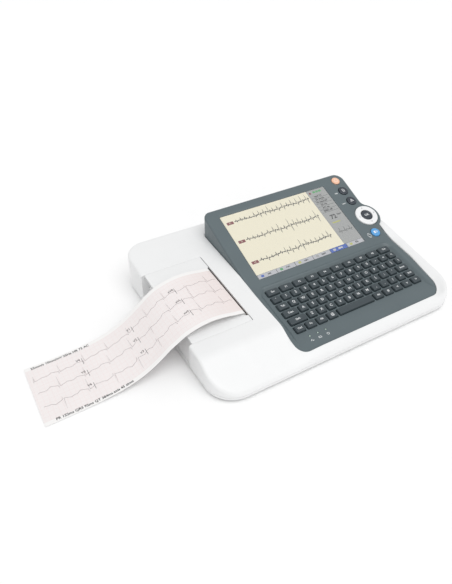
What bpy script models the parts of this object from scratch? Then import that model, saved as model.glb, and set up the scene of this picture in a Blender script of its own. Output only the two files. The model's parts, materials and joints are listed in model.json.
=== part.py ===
"""ECG machine with a screen, a keyboard and a paper drawer. Metres, +X to the user's right, +Y to the back, +Z up.

Everything is drawn in millimetres about the point of the table below the middle of the screen. place() then
shifts each piece so that the model's origin is the bottom centre of its box, and turns it into metres.
"""

import math

import bmesh
import bpy
from mathutils import Matrix, Vector

MM = 0.001
GAP = 0.35  # between pieces that touch

# Outer size of the body
LEFT, RIGHT, FRONT, REAR = -192.0, 124.0, -158.0, 76.0
FEET = 2.5  # the base is this far above the table
FLOOR_TOP = 5.0
PARTING = 7.0  # where the top shell meets the base
WALL = 2.5
PAPER_END = -337.0  # far end of the printed paper, on the table
SHIFT = Vector((-(PAPER_END + RIGHT) / 2, -(FRONT + REAR) / 2, 0.0))

# Top surfaces, as (height at y = 0, slope along y)
PLATEAU = (41.5, 0.07)  # printer block
RIM = (44.76, 0.18)  # rim beside the keyboard
SCREEN = (51.9, 0.3725)  # screen bezel
CREASE_Y = -55.6  # where the screen bezel meets the keyboard deck
DECK_SLOPE = 0.18
BLOCK_RIGHT = -96.0  # right edge of the printer block

# Console
COVER = 2.2
BASIN = 2.5  # depth of the keyboard basin
SCREEN_HALF = (77.0, 47.35)  # half of the picture area
NAV = (104.4, -14.3)  # middle of the rocker disc, in the screen plane
NAV_RADIUS = 14.3
CONTROLS = {
    "power_button": (99.3, 49.6, 5.6, (0.90, 0.62, 0.42)),
    "function_button_upper": (99.1, 31.4, 6.3, (0.02, 0.03, 0.04)),
    "function_button_lower": (99.7, 13.2, 6.3, (0.02, 0.03, 0.04)),
    "print_button": (98.5, -41.4, 6.0, (0.16, 0.45, 0.78)),
}

# Keyboard, in the deck plane: d runs from the crease to the user, and is negative
KEYS_LEFT, KEYS_RIGHT = -79.6, 98.7
KEY_GAP = 2.3
KEY_DEPTH = 8.6
ROW_PITCH = 11.04
FIRST_ROW = -8.5
WEB_TOP, WEB_BOTTOM, CAP_TOP = -3.3, -4.9, 0.2
KEY_ROWS = {
    "key_row_1": [1.4] * 10,
    "key_row_2": [1.0] * 14,
    "key_row_3": [1.2] + [1.0] * 12 + [0.8],
    "key_row_4": [1.6] + [1.0] * 11 + [1.4],
    "key_row_5": [1.9] + [1.0] * 11 + [1.1],
}
LAST_ROW = {
    "key_row_6_left": (-79.6, -24.7, 4),
    "space_bar": (-22.4, 26.7, 1),
    "key_row_6_right": (29.0, 98.7, 5),
}
LEDS = (-69.2, -58.95, -48.7)
LED_D = -76.0

# Printer
DRAWER_FRONT, DRAWER_REAR = -96.6, 17.4
SEAM_X, SLOT_X = -118.9, -121.9  # right edge of the drawer's cover, at its ends and at the paper
PAPER_WIDTH = 80.0
PAPER_Y = -46.5
PAPER_THICK = 0.35
PAPER_DRIFT = -6.8  # the far end has wandered this far to the front
PLATEN = (-127.2, 25.8)
PLATEN_RADIUS = 6.0
ROLL = (-158.0, 19.6)
ROLL_RADIUS = 13.0
RIB_Y = (-3.2, -1.2)  # inner plate of the drawer, beside the paper
GEAR_Y = (0.6, 4.6)
GEAR_MODULE = 0.7
PLATEN_TEETH, MOTOR_TEETH = 24, 14
GEAR_PLAY = 0.12
MOTOR_ANGLE = math.radians(-130.7)  # of the motor's axis about the platen's
LIP_ROUTE = [
    (-120.75, 30.0), (-120.8, 36.0), (-121.6, 39.6), (-125.5, 41.2), (-134.0, 42.8), (-147.0, 45.6),
    (-161.0, 46.8), (-176.0, 45.2), (-191.0, 40.6), (-206.0, 31.2), (-220.0, 21.0), (-236.0, 11.8),
    (-256.0, 5.2), (-281.0, 1.7), (-308.0, 0.7), (PAPER_END, 0.7),
]

FOOT_SPOTS = {
    "foot_front_left": (-160.0, -128.0),
    "foot_front_right": (92.0, -128.0),
    "foot_rear_left": (-160.0, 52.0),
    "foot_rear_right": (98.0, 58.0),
}
SCREWS = [(-178.0, -122.0), (-178.0, 58.0), (118.0, -112.0), (116.5, 64.0)]
BOARD_POSTS = [(-54.0, -14.0), (50.0, -14.0), (-54.0, 42.0), (50.0, 42.0)]

GREY = (0.115, 0.135, 0.150)
WHITE = (0.86, 0.87, 0.88)
STEEL = (0.60, 0.61, 0.63)
BOARD = (0.02, 0.16, 0.07)
BLACK = (0.03, 0.03, 0.035)


# ---------------------------------------------------------------- outlines


def height(surface, y, drop=0.0):
    """Height of a sloping top surface at y, or of one that lies drop below it."""
    at_zero, slope = surface
    return at_zero + slope * y - drop * math.hypot(1.0, slope)


DECK = (SCREEN[0] + (SCREEN[1] - DECK_SLOPE) * CREASE_Y, DECK_SLOPE)


def crossing(one, other):
    """The y where two surfaces meet."""
    return (other[0] - one[0]) / (one[1] - other[1])


def rounded(corners, segments=5):
    """An outline from corners (u, v, radius), each with a radius turned into an arc."""
    outline = []
    for i, (u, v, radius) in enumerate(corners):
        here = Vector((u, v))
        if radius == 0:
            outline.append((u, v))
            continue
        before = (Vector(corners[i - 1][:2]) - here).normalized()
        after = (Vector(corners[(i + 1) % len(corners)][:2]) - here).normalized()
        half = before.angle(after) / 2
        centre = here + (before + after).normalized() * (radius / math.sin(half))
        start = here + before * (radius / math.tan(half)) - centre
        end = here + after * (radius / math.tan(half)) - centre
        first = math.atan2(start.y, start.x)
        sweep = math.remainder(math.atan2(end.y, end.x) - first, math.tau)
        for step in range(segments + 1):
            angle = first + sweep * step / segments
            outline.append((centre.x + radius * math.cos(angle), centre.y + radius * math.sin(angle)))
    return outline


def circle(centre, radius, segments=24):
    angles = [math.tau * step / segments for step in range(segments)]
    return [(centre[0] + radius * math.cos(a), centre[1] + radius * math.sin(a)) for a in angles]


def body_plan(inset):
    return rounded(
        [
            (LEFT + inset, FRONT + inset, 30 - inset),
            (RIGHT - inset, FRONT + inset, 35 - inset),
            (RIGHT - inset, REAR - inset, 25 - inset),
            (LEFT + inset, REAR - inset, 25 - inset),
        ],
        8,
    )


def console_plan(grow):
    """The console's outline in plan. The right side has a slight waist above and below the rocker disc."""
    return rounded(
        [
            (-94.8 - grow, -148.2 - grow, 13 + grow),
            (108.0 + grow, -148.2 - grow, 24 + grow),
            (112.6 + grow, -88.0, 0),
            (111.3 + grow, -42.0, 0),
            (113.4 + grow, -30.0, 0),
            (113.4 + grow, 8.0, 0),
            (111.3 + grow, 30.0, 0),
            (113.6 + grow, 57.8 + grow, 12 + grow),
            (-94.8 - grow, 56.6 + grow, 9 + grow),
        ]
    )


# ---------------------------------------------------------------- solids


def solid(bm, frame=None):
    bmesh.ops.recalc_face_normals(bm, faces=bm.faces)
    mesh = bpy.data.meshes.new("solid")
    bm.to_mesh(mesh)
    bm.free()
    if frame is not None:
        mesh.transform(frame)
    obj = bpy.data.objects.new("solid", mesh)
    bpy.context.scene.collection.objects.link(obj)
    return obj


def along(axis, u, v, w):
    """A point from an outline's u and v and its place w along the axis."""
    return {"X": (w, u, v), "Y": (u, w, v), "Z": (u, v, w)}[axis]


def prism(outline, low, high, axis="Z", frame=None):
    """An outline (yz along X, xz along Y, xy along Z) drawn out from low to high."""
    bm = bmesh.new()
    ends = [[bm.verts.new(along(axis, u, v, w)) for u, v in outline] for w in (low, high)]
    bm.faces.new(ends[0])
    bm.faces.new(ends[1])
    for i in range(len(outline)):
        bm.faces.new((ends[0][i - 1], ends[0][i], ends[1][i], ends[1][i - 1]))
    return solid(bm, frame)


def box(x, y, z, frame=None):
    return prism([(x[0], y[0]), (x[1], y[0]), (x[1], y[1]), (x[0], y[1])], z[0], z[1], "Z", frame)


def disc(centre, radius, low, high, axis="Z", frame=None, segments=24):
    return prism(circle(centre, radius, segments), low, high, axis, frame)


def turned(profile, centre, axis="Z", frame=None, segments=24, hollow=False):
    """A profile of (place along the axis, radius) turned about it. A hollow one closes on itself, as a tube."""
    bm = bmesh.new()
    rings = []
    for place_on_axis, radius in profile:
        ring = [bm.verts.new(along(axis, u, v, place_on_axis)) for u, v in circle(centre, radius, segments)]
        rings.append(ring)
    pairs = list(zip(rings, rings[1:]))
    if hollow:
        pairs.append((rings[-1], rings[0]))
    else:
        bm.faces.new(rings[0])
        bm.faces.new(rings[-1])
    for low, high in pairs:
        for i in range(segments):
            bm.faces.new((low[i - 1], low[i], high[i], high[i - 1]))
    return solid(bm, frame)


def tube(centre, outer, inner, low, high, axis="Z", frame=None, segments=24):
    return turned([(low, outer), (high, outer), (high, inner), (low, inner)], centre, axis, frame, segments, True)


def combine(obj, others, operation="DIFFERENCE"):
    """Cuts the others from the object, adds them to it, or keeps what they share."""
    for other in others:
        modifier = obj.modifiers.new("combine", "BOOLEAN")
        modifier.operation = operation
        modifier.object = other
    bpy.context.view_layer.update()
    evaluated = obj.evaluated_get(bpy.context.evaluated_depsgraph_get())
    mesh = bpy.data.meshes.new_from_object(evaluated)
    obj.modifiers.clear()
    obj.data = mesh
    for other in others:
        bpy.data.objects.remove(other, do_unlink=True)
    return obj


def join(obj, *others):
    return combine(obj, others, "UNION")


def shared(obj, *others):
    return combine(obj, others, "INTERSECT")


def finish(name, colour, roughness=0.5, metallic=0.0):
    material = bpy.data.materials.new(name)
    material.use_nodes = True
    shader = material.node_tree.nodes["Principled BSDF"]
    shader.inputs["Base Color"].default_value = (*colour, 1.0)
    shader.inputs["Roughness"].default_value = roughness
    shader.inputs["Metallic"].default_value = metallic
    return material


def place(name, obj, origin, colour, roughness=0.5, metallic=0.0):
    """Names a piece, moves it to the model's own frame in metres and puts its origin at a point in mm."""
    at = (Vector(origin) + SHIFT) * MM
    obj.data.transform(Matrix.Translation(-at) @ Matrix.Scale(MM, 4) @ Matrix.Translation(SHIFT))
    obj.location = at
    obj.name = name
    obj.data.name = name
    obj.data.materials.clear()
    obj.data.materials.append(finish(name, colour, roughness, metallic))
    obj.data.shade_smooth()
    obj.data.set_sharp_from_angle(angle=math.radians(35))
    return obj


def tilted_frame(surface, y):
    """Local axes on a sloping surface: x, up the slope, and out of it, from the surface's line at y."""
    origin = Matrix.Translation((0.0, y, height(surface, y)))
    return origin @ Matrix.Rotation(math.atan(surface[1]), 4, "X")


ON_SCREEN = tilted_frame(SCREEN, 0.0)
ON_DECK = tilted_frame(DECK, CREASE_Y)


def on(frame, x, d, n=0.0):
    return frame @ Vector((x, d, n))


# ---------------------------------------------------------------- housing


def block_profile(inset):
    """Side view of the printer block: front lip, slope, plateau and rear wall."""
    bottom = PARTING if inset == 0 else -5.0
    crease = -118.0 + inset / 3
    return rounded(
        [
            (FRONT + inset, bottom, 0),
            (FRONT + inset, 10.5 - inset / 2, 2),
            (crease, height(PLATEAU, crease, inset), 22),
            (REAR - inset, height(PLATEAU, REAR - inset, inset), 6 - inset),
            (REAR - inset, bottom, 0),
        ]
    )


def rim_profile():
    """Side view of the body round the console."""
    bend = crossing(RIM, PLATEAU)
    return rounded(
        [
            (FRONT, PARTING, 0),
            (FRONT, 12.0, 3.5),
            (-150.9, height(RIM, -150.9), 4),
            (bend, height(RIM, bend), 60),
            (REAR, height(PLATEAU, REAR), 6),
            (REAR, PARTING, 0),
        ]
    )


def make_top_shell():
    shell = prism(block_profile(0), LEFT - 1, BLOCK_RIGHT, "X")
    join(shell, prism(rim_profile(), BLOCK_RIGHT - 0.5, RIGHT + 1, "X"))
    shared(shell, prism(body_plan(0), 0, 90))
    inside = prism(block_profile(WALL), LEFT + WALL, BLOCK_RIGHT - WALL, "X")
    shared(inside, prism(body_plan(WALL), -10, 90))
    rim_inside = [
        (-100.0, -5.0), (-42.0, -5.0), (-42.0, height(RIM, -42.0, WALL)), (-100.0, height(RIM, -100.0, WALL)),
    ]
    combine(
        shell,
        [
            inside,
            prism(rim_inside, 115.4, RIGHT - WALL, "X"),
            box((-93.0, -14.0), (60.8, REAR - WALL), (-5.0, 43.0)),
            prism(console_plan(GAP), -5, 90),
            disc(NAV, 16.4, -45, 20, "Z", ON_SCREEN, 32),
            box((BLOCK_RIGHT - 4, BLOCK_RIGHT + 3), (-100.0, 20.0), (-5.0, 16.0)),  # room for the drawer's arms
            drawer_opening(),
            box((-10.0, 95.0), (50.0, 80.0), (9.5, 36.0)),  # rear panel
            box((100.0, 130.0), (15.0, 55.0), (13.4, 30.6)),  # patient socket
        ],
    )
    tops = (27.5, height(PLATEAU, SCREWS[1][1], 1.0))  # the front post stands under the slope
    join(shell, *[disc(spot, 4.0, PARTING, top, segments=16) for spot, top in zip(SCREWS, tops)])
    combine(shell, [disc(spot, 1.9, -5, 20, segments=12) for spot in SCREWS])
    return place("top_shell", shell, (0, 0, 20), WHITE, 0.42)


def drawer_opening():
    """The opening in the left of the body for the drawer."""
    return box((LEFT - 5, SEAM_X + 0.6), (DRAWER_FRONT - 0.6, DRAWER_REAR + 0.6), (-5.0, 70.0))


def make_base_shell():
    base = prism(body_plan(0), FEET, PARTING - GAP)
    hollow = prism(body_plan(WALL), FLOOR_TOP, 20)
    cuts = [hollow, box((LEFT - 5, LEFT + 8), (DRAWER_FRONT - 0.6, DRAWER_REAR + 0.6), (FLOOR_TOP, 20.0))]
    cuts.append(box((-44.0, 44.0), (-82.0, -20.0), (0.0, 4.0)))
    cuts.append(box((-42.0, 42.0), (-80.0, -22.0), (3.5, 9.0)))
    cuts += [disc(spot, 7.4, 0.0, 3.3, segments=20) for spot in FOOT_SPOTS.values()]
    for spot in SCREWS:
        cuts.append(disc(spot, 3.6, 0.0, 3.7, segments=16))
        cuts.append(disc(spot, 1.9, 3.0, 9.0, segments=12))
    cuts += [box((66.0 + 5 * i, 68.5 + 5 * i), (0.0, 36.0), (0.0, 9.0)) for i in range(7)]
    cuts += [box((-86.0 + 4 * i, -84.2 + 4 * i), (22.0, 38.0), (0.0, 9.0)) for i in range(5)]
    combine(base, cuts)
    join(base, *[disc(spot, 2.6, FLOOR_TOP - 1, 19.6, segments=10) for spot in BOARD_POSTS])
    place("base_shell", base, (0, 0, FLOOR_TOP), WHITE, 0.5)
    cover = box((-43.6, 43.6), (-81.6, -20.4), (2.6, 3.65))
    join(cover, box((-5.0, 5.0), (-80.0, -76.0), (3.2, 4.4)))
    place("battery_cover", cover, (0, -51, 3), WHITE, 0.5)


def make_feet_and_screws():
    for name, spot in FOOT_SPOTS.items():
        foot = turned([(0.0, 6.2), (0.6, 7.0), (2.95, 7.0)], spot, segments=20)
        place(name, foot, (*spot, 0), BLACK, 0.9)
    for number, spot in enumerate(SCREWS, 1):
        screw = turned([(2.75, 2.4), (3.3, 3.0), (3.35, 1.45), (16.0, 1.45), (16.8, 0.7)], spot, segments=12)
        place(f"case_screw_{number}", screw, (*spot, 3), STEEL, 0.35, 1.0)


# ---------------------------------------------------------------- console


def make_console_cover():
    outer = [
        (-152.0, 8.0), (-56.0, 21.0), (60.0, 36.0), (60.0, height(SCREEN, 60.0)),
        (CREASE_Y, height(SCREEN, CREASE_Y)), (-152.0, height(DECK, -152.0)),
    ]
    cover = prism(console_plan(0), 0, 90)
    join(cover, disc(NAV, 16.0, -40, 20, "Z", ON_SCREEN, 32))
    shared(cover, prism(outer, -120, 140, "X"))
    level = (42.0, PLATEAU[1])  # underside of the bulge round the disc, just above the top shell
    edge = crossing(SCREEN, level)
    wedge = [(edge, height(SCREEN, edge)), (8.0, height(level, 8.0)), (8.0, height(SCREEN, 8.0))]
    join(cover, shared(disc(NAV, 19.4, -20, 20, "Z", ON_SCREEN, 32), prism(wedge, 80, 140, "X")))
    under_deck = BASIN + COVER
    inner = [
        (-146.0, -10.0), (56.0, -10.0), (56.0, height(SCREEN, 56.0, COVER)),
        (-57.0, height(SCREEN, -57.0, COVER)), (-57.0, height(DECK, -57.0, under_deck)),
        (-146.0, height(DECK, -146.0, under_deck)),
    ]
    cuts = [shared(prism(console_plan(-COVER), -20, 90), prism(inner, -120, 140, "X"))]
    half_x, half_d = SCREEN_HALF
    cuts.append(box((-half_x - 0.6, half_x + 0.6), (-half_d - 0.6, half_d + 0.6), (-3.0, 5.0), ON_SCREEN))
    cuts.append(box((-80.8, 80.8), (-51.0, 51.0), (-5.0, -1.0), ON_SCREEN))
    cuts.append(disc(NAV, NAV_RADIUS + 0.6, -18, 10, "Z", ON_SCREEN, 32))
    for x, d, radius, _ in CONTROLS.values():
        cuts.append(disc((x, d), radius + GAP, -6, 5, "Z", ON_SCREEN))
    basin = rounded([(-86, -92, 10), (102, -92, 10), (102, -2.5, 6), (-86, -2.5, 6)])
    cuts.append(prism(basin, -BASIN, 10, "Z", ON_DECK))
    for d, left, right in slots():
        half = KEY_DEPTH / 2 + GAP
        cuts.append(box((left - GAP, right + GAP), (d - half, d + half), (-9.0, 0.0), ON_DECK))
    cuts += [disc((x, LED_D), 1.35, -9, 0, "Z", ON_DECK, 12) for x in LEDS]
    combine(cover, cuts)
    place("console_cover", cover, (0, 0, 50), GREY, 0.45)


def make_screen():
    lens = box((-80.4, 80.4), (-50.6, 50.6), (-2.4, -1.35), ON_SCREEN)
    place("display_window", lens, on(ON_SCREEN, 0, 0, -2), (0.75, 0.78, 0.8), 0.05)
    panel = box((-83.0, 83.0), (-52.0, 52.0), (-8.5, -2.9), ON_SCREEN)
    place("lcd_panel", panel, on(ON_SCREEN, 0, 0, -6), (0.88, 0.84, 0.72), 0.3)
    bracket = box((-86.0, 86.0), (-53.0, 53.0), (-10.4, -8.85), ON_SCREEN)
    combine(bracket, [box((-70.0, 70.0), (-38.0, 38.0), (-12.0, -7.0), ON_SCREEN)])
    place("lcd_bracket", bracket, on(ON_SCREEN, 0, 0, -10), STEEL, 0.4, 1.0)


def key_spans(left, right, widths):
    """The left and right edge of each key cap in a row, from their relative widths."""
    share = (right - left + KEY_GAP) / sum(widths)
    spans = []
    edge = left
    for width in widths:
        spans.append((edge, edge + width * share - KEY_GAP))
        edge += width * share
    return spans


def rows():
    """Name, place and key caps of each row."""
    found = []
    for number, (name, widths) in enumerate(KEY_ROWS.items()):
        found.append((name, FIRST_ROW - ROW_PITCH * number, key_spans(KEYS_LEFT, KEYS_RIGHT, widths)))
    for name, (left, right, count) in LAST_ROW.items():
        found.append((name, FIRST_ROW - ROW_PITCH * 5, key_spans(left, right, [1.0] * count)))
    return found


def slots():
    return [(d, spans[0][0], spans[-1][1]) for _, d, spans in rows()]


def make_keys():
    for name, d, spans in rows():
        comb = [(spans[-1][1], WEB_BOTTOM), (spans[0][0], WEB_BOTTOM)]
        for left, right in spans:
            comb += [(left, WEB_TOP), (left + 0.9, CAP_TOP), (right - 0.9, CAP_TOP), (right, WEB_TOP)]
        row = prism(comb, d - KEY_DEPTH / 2, d + KEY_DEPTH / 2, "Y", ON_DECK)
        middle = (spans[0][0] + spans[-1][1]) / 2
        place(name, row, on(ON_DECK, middle, d, WEB_BOTTOM), (0.03, 0.04, 0.045), 0.6)


def make_console_boards():
    board = box((-80.0, 98.0), (-70.0, -4.0), (-8.9, -7.3), ON_DECK)
    place("keyboard_board", board, on(ON_DECK, 0, -37, -8), BOARD, 0.5)
    board = box((88.0, 108.2), (-48.0, 50.0), (-8.2, -6.7), ON_SCREEN)
    place("control_board", board, on(ON_SCREEN, 98, 0, -7), BOARD, 0.5)
    pipe = box((LEDS[0] - 2.5, LEDS[2] + 2.5), (LED_D - 2.0, LED_D + 2.0), (-6.4, -5.2), ON_DECK)
    join(pipe, *[disc((x, LED_D), 1.0, -5.6, -2.4, "Z", ON_DECK, 12) for x in LEDS])
    place("led_light_pipe", pipe, on(ON_DECK, LEDS[1], LED_D, -6), (0.7, 0.8, 0.7), 0.2)


def make_controls():
    for name, (x, d, radius, colour) in CONTROLS.items():
        flange = radius + 1.0
        profile = [(-3.7, flange), (-2.75, flange), (-2.7, radius), (0.7, radius), (1.2, radius - 0.9)]
        button = turned(profile, (x, d), "Z", ON_SCREEN, 24)
        place(name, button, on(ON_SCREEN, x, d, -3), colour, 0.35)
    ring = turned(
        [(-3.3, NAV_RADIUS), (0.6, NAV_RADIUS), (1.3, NAV_RADIUS - 1.2), (1.3, 8.4), (0.9, 8.0), (-3.3, 8.0)],
        NAV, "Z", ON_SCREEN, 32, True,
    )
    pivot = on(ON_SCREEN, *NAV, -2.5)
    place("nav_ring", ring, pivot, (0.85, 0.86, 0.87), 0.35)
    rocker = tube(NAV, 12.5, 8.7, -5.7, -4.35, "Z", ON_SCREEN, 24)
    place("nav_rocker", rocker, pivot, BLACK, 0.6)
    middle = turned([(-4.6, 7.3), (0.5, 7.3), (1.0, 6.6)], NAV, "Z", ON_SCREEN, 24)
    place("nav_ok_button", middle, pivot, (0.02, 0.02, 0.025), 0.35)


# ---------------------------------------------------------------- printer


def between(first, second, low, high):
    """A slab under the plateau between two depths, over a plan outline added by the caller."""
    side = [(y, height(PLATEAU, y, depth)) for depth, y in ((first, low), (first, high), (second, high), (second, low))]
    return prism(side, -250, 0, "X")


def make_drawer():
    plan = [
        (-187.6, DRAWER_FRONT), (SEAM_X, DRAWER_FRONT), (SEAM_X, -88.5), (SLOT_X, -87.5),
        (SLOT_X, -5.5), (SEAM_X, -2.0), (SEAM_X, DRAWER_REAR), (-187.6, DRAWER_REAR),
    ]
    drawer = shared(prism(plan, 0, 90), between(2.4, 0.0, DRAWER_FRONT - 1, DRAWER_REAR + 1))
    end_wall = [(-190.2, 5.4), (-187.6, 5.4), (-179.0, 36.0), (-181.6, 36.0)]
    end = shared(prism(end_wall, DRAWER_FRONT, DRAWER_REAR, "Y"), between(60.0, 1.0, -99, 19))
    front_wall = [(-184.0, 8.35), (-60.0, 8.35), (-60.0, 14.0), (SEAM_X - 3, 14.0), (SEAM_X - 3, 33.5), (-180.0, 33.5)]
    rear_wall = [(u, v if v < 20 else 39.5) for u, v in front_wall]
    rib = [(-172.0, 8.35), (-123.0, 8.35), (-123.0, 39.5), (-172.0, 39.5)]
    tie = [(-184.0, 8.35), (-170.0, 8.35), (-170.0, 10.35), (-184.0, 10.35)]
    join(
        drawer, end,
        prism(front_wall, -95.0, -92.8, "Y"),
        prism(rear_wall, 13.4, 15.6, "Y"),
        prism(rib, RIB_Y[0], RIB_Y[1], "Y"),
        prism(tie, -94.0, 14.0, "Y"),
    )
    holes = [disc(PLATEN, 1.85, -97, 0, "Y", segments=16), disc(ROLL, 2.35, -97, 0, "Y", segments=16)]
    combine(drawer, holes)
    place("paper_drawer", drawer, (-155, -40, 8), WHITE, 0.42)


def make_roll():
    spindle = turned([(-94.6, 1.9), (-91.6, 2.0), (-91.5, 4.6), (-4.6, 4.6), (-4.5, 2.0), (-1.6, 1.9)], ROLL, "Y")
    place("roll_spindle", spindle, (ROLL[0], PAPER_Y, ROLL[1]), BLACK, 0.5)
    half = PAPER_WIDTH / 2
    core = tube(ROLL, 6.3, 5.0, PAPER_Y - half, PAPER_Y + half, "Y")
    place("roll_core", core, (ROLL[0], PAPER_Y, ROLL[1]), (0.55, 0.45, 0.33), 0.9)
    paper = tube(ROLL, ROLL_RADIUS, 6.65, PAPER_Y - half, PAPER_Y + half, "Y", segments=32)
    place("paper_roll", paper, (ROLL[0], PAPER_Y, ROLL[1]), (0.9, 0.86, 0.85), 0.8)


def gear(teeth, centre, bore, turn):
    """A spur gear along Y: straight-flanked teeth on the pitch circle, thinner than the gaps between them."""
    pitch = teeth * GEAR_MODULE / 2
    levels = ((pitch - 1.2 * GEAR_MODULE, 0.60), (pitch, 0.46), (pitch + 0.85 * GEAR_MODULE, 0.22))
    outline = []
    for tooth in range(teeth):
        middle = turn + math.tau * tooth / teeth
        sides = [(radius, -share) for radius, share in levels] + [(radius, share) for radius, share in levels[::-1]]
        for radius, share in sides:
            half_angle = share * math.pi / teeth
            if share < 0:
                angle = middle + half_angle + GEAR_PLAY / 2 / pitch
            else:
                angle = middle + half_angle - GEAR_PLAY / 2 / pitch
            outline.append((centre[0] + radius * math.cos(angle), centre[1] + radius * math.sin(angle)))
    wheel = prism(outline, GEAR_Y[0], GEAR_Y[1], "Y")
    return combine(wheel, [disc(centre, bore, GEAR_Y[0] - 1, GEAR_Y[1] + 1, "Y", segments=16)])


def make_platen_drive():
    roller = tube(PLATEN, PLATEN_RADIUS, 1.8, PAPER_Y - 41, PAPER_Y + 41, "Y", segments=28)
    origin = (PLATEN[0], PAPER_Y, PLATEN[1])
    place("platen_roller", roller, origin, BLACK, 0.85)
    shaft = disc(PLATEN, 1.5, -94.8, GEAR_Y[1] + 0.6, "Y", segments=16)
    place("platen_shaft", shaft, origin, STEEL, 0.3, 1.0)
    wheel = gear(PLATEN_TEETH, PLATEN, 1.8, MOTOR_ANGLE)
    place("platen_gear", wheel, origin, (0.85, 0.85, 0.8), 0.5)
    reach = (PLATEN_TEETH + MOTOR_TEETH) * GEAR_MODULE / 2 + 0.15
    axis = (PLATEN[0] + reach * math.cos(MOTOR_ANGLE), PLATEN[1] + reach * math.sin(MOTOR_ANGLE))
    pinion = gear(MOTOR_TEETH, axis, 1.3, MOTOR_ANGLE + math.pi + math.pi / MOTOR_TEETH)
    place("motor_gear", pinion, (axis[0], 0, axis[1]), (0.75, 0.62, 0.3), 0.4, 1.0)
    motor = disc(axis, 9.6, GEAR_Y[1] + 1.2, 12.4, "Y", segments=24)
    join(motor, disc(axis, 1.0, GEAR_Y[0], GEAR_Y[1] + 3, "Y", segments=12))
    place("paper_motor", motor, (axis[0], 8, axis[1]), STEEL, 0.4, 1.0)


def make_print_head():
    head = box((-119.9, -117.0), (-87.0, -5.0), (20.0, 32.2))
    place("print_head", head, (-118, PAPER_Y, 28), (0.12, 0.12, 0.13), 0.3)
    bracket = box((-116.6, -114.6), (-90.0, -2.0), (9.0, 32.0))
    join(bracket, box((-116.0, -104.0), (-90.0, -2.0), (9.0, 11.0)))
    place("head_bracket", bracket, (-116, PAPER_Y, 22), STEEL, 0.4, 1.0)
    for name, y in (("head_spring_front", -72.0), ("head_spring_rear", -20.0)):
        place(name, spring((y, 26.0), -114.2, BLOCK_RIGHT - WALL - 0.5), (-107, y, 26), STEEL, 0.3, 1.0)


def spring(centre, start, end, radius=3.0, wire=0.45, turns=5, steps=12):
    """A compression spring along X."""
    bm = bmesh.new()
    rings = []
    total = turns * steps
    for step in range(total + 1):
        angle = math.tau * step / steps
        x = start + wire + (end - start - 2 * wire) * step / total
        ring = []
        for side in range(6):
            out = wire * math.cos(math.tau * side / 6)
            r = radius - wire + out
            shift = wire * math.sin(math.tau * side / 6)
            point = (x + shift, centre[0] + r * math.cos(angle), centre[1] + r * math.sin(angle))
            ring.append(bm.verts.new(point))
        rings.append(ring)
    for low, high in zip(rings, rings[1:]):
        for i in range(6):
            bm.faces.new((low[i - 1], low[i], high[i], high[i - 1]))
    bm.faces.new(rings[0])
    bm.faces.new(rings[-1])
    return solid(bm)


def make_rails():
    for name, y in (("drawer_rail_front", -93.9), ("drawer_rail_rear", 14.5)):
        rail = box((-184.0, -62.0), (y - 1.6, y + 1.6), (FLOOR_TOP + GAP, 8.0))
        combine(rail, [box((-180.0, -66.0), (y - 0.5, y + 0.5), (7.0, 9.0))])
        place(name, rail, (-120, y, 7), STEEL, 0.35, 1.0)


def smooth_route(points, step):
    """A smooth curve through the points, with a point about every step."""
    ends = [Vector(points[0]) * 2 - Vector(points[1]), Vector(points[-1]) * 2 - Vector(points[-2])]
    knots = [ends[0], *[Vector(p) for p in points], ends[1]]
    route = []
    for a, b, c, d in zip(knots, knots[1:], knots[2:], knots[3:]):
        count = max(1, round((c - b).length / step))
        for i in range(count):
            t = i / count
            route.append(0.5 * (2 * b + (c - a) * t + (2 * a - 5 * b + 4 * c - d) * t**2 + (3 * b - a - 3 * c + d) * t**3))
    route.append(knots[-2])
    return route


def paper_route():
    """Middle line of the paper in xz: off the roll's top, under and round the platen, out of the slot and down."""
    round_roll = ROLL_RADIUS + 0.7
    round_platen = PLATEN_RADIUS + 0.45
    link = Vector(PLATEN) - Vector(ROLL)
    heading = math.atan2(link.y, link.x) - math.asin((round_roll + round_platen) / link.length)
    left_of = Vector((-math.sin(heading), math.cos(heading)))
    route = [Vector(ROLL) + left_of * round_roll]
    first = heading - math.pi / 2
    for i in range(9):
        angle = first * (1 - i / 8)
        route.append(Vector(PLATEN) + Vector((math.cos(angle), math.sin(angle))) * round_platen)
    return route + smooth_route(LIP_ROUTE, 4.5)


def make_paper():
    route = paper_route()
    bm = bmesh.new()
    rings = []
    for i, point in enumerate(route):
        heading = (route[min(i + 1, len(route) - 1)] - route[max(i - 1, 0)]).normalized()
        side = Vector((-heading.y, heading.x)) * PAPER_THICK / 2
        past_slot = max(0.0, -120.8 - point.x) / (-120.8 - PAPER_END)
        middle = PAPER_Y + PAPER_DRIFT * past_slot
        lean = PLATEAU[1] * (1 - past_slot) ** 2 * min(1.0, max(0.0, (point.y - 30) / 6)) if point.x > -260 else 0.0
        ring = []
        for along_y, across in ((-1, -1), (1, -1), (1, 1), (-1, 1)):
            offset = along_y * PAPER_WIDTH / 2
            edge = point + side * across
            ring.append(bm.verts.new((max(edge.x, PAPER_END), middle + offset, edge.y + lean * offset)))
        rings.append(ring)
    for low, high in zip(rings, rings[1:]):
        for i in range(4):
            bm.faces.new((low[i - 1], low[i], high[i], high[i - 1]))
    bm.faces.new(rings[0])
    bm.faces.new(rings[-1])
    place("paper_strip", solid(bm), (-150, PAPER_Y, 40), (0.92, 0.86, 0.85), 0.8)


# ---------------------------------------------------------------- inside the base and at the back


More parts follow.
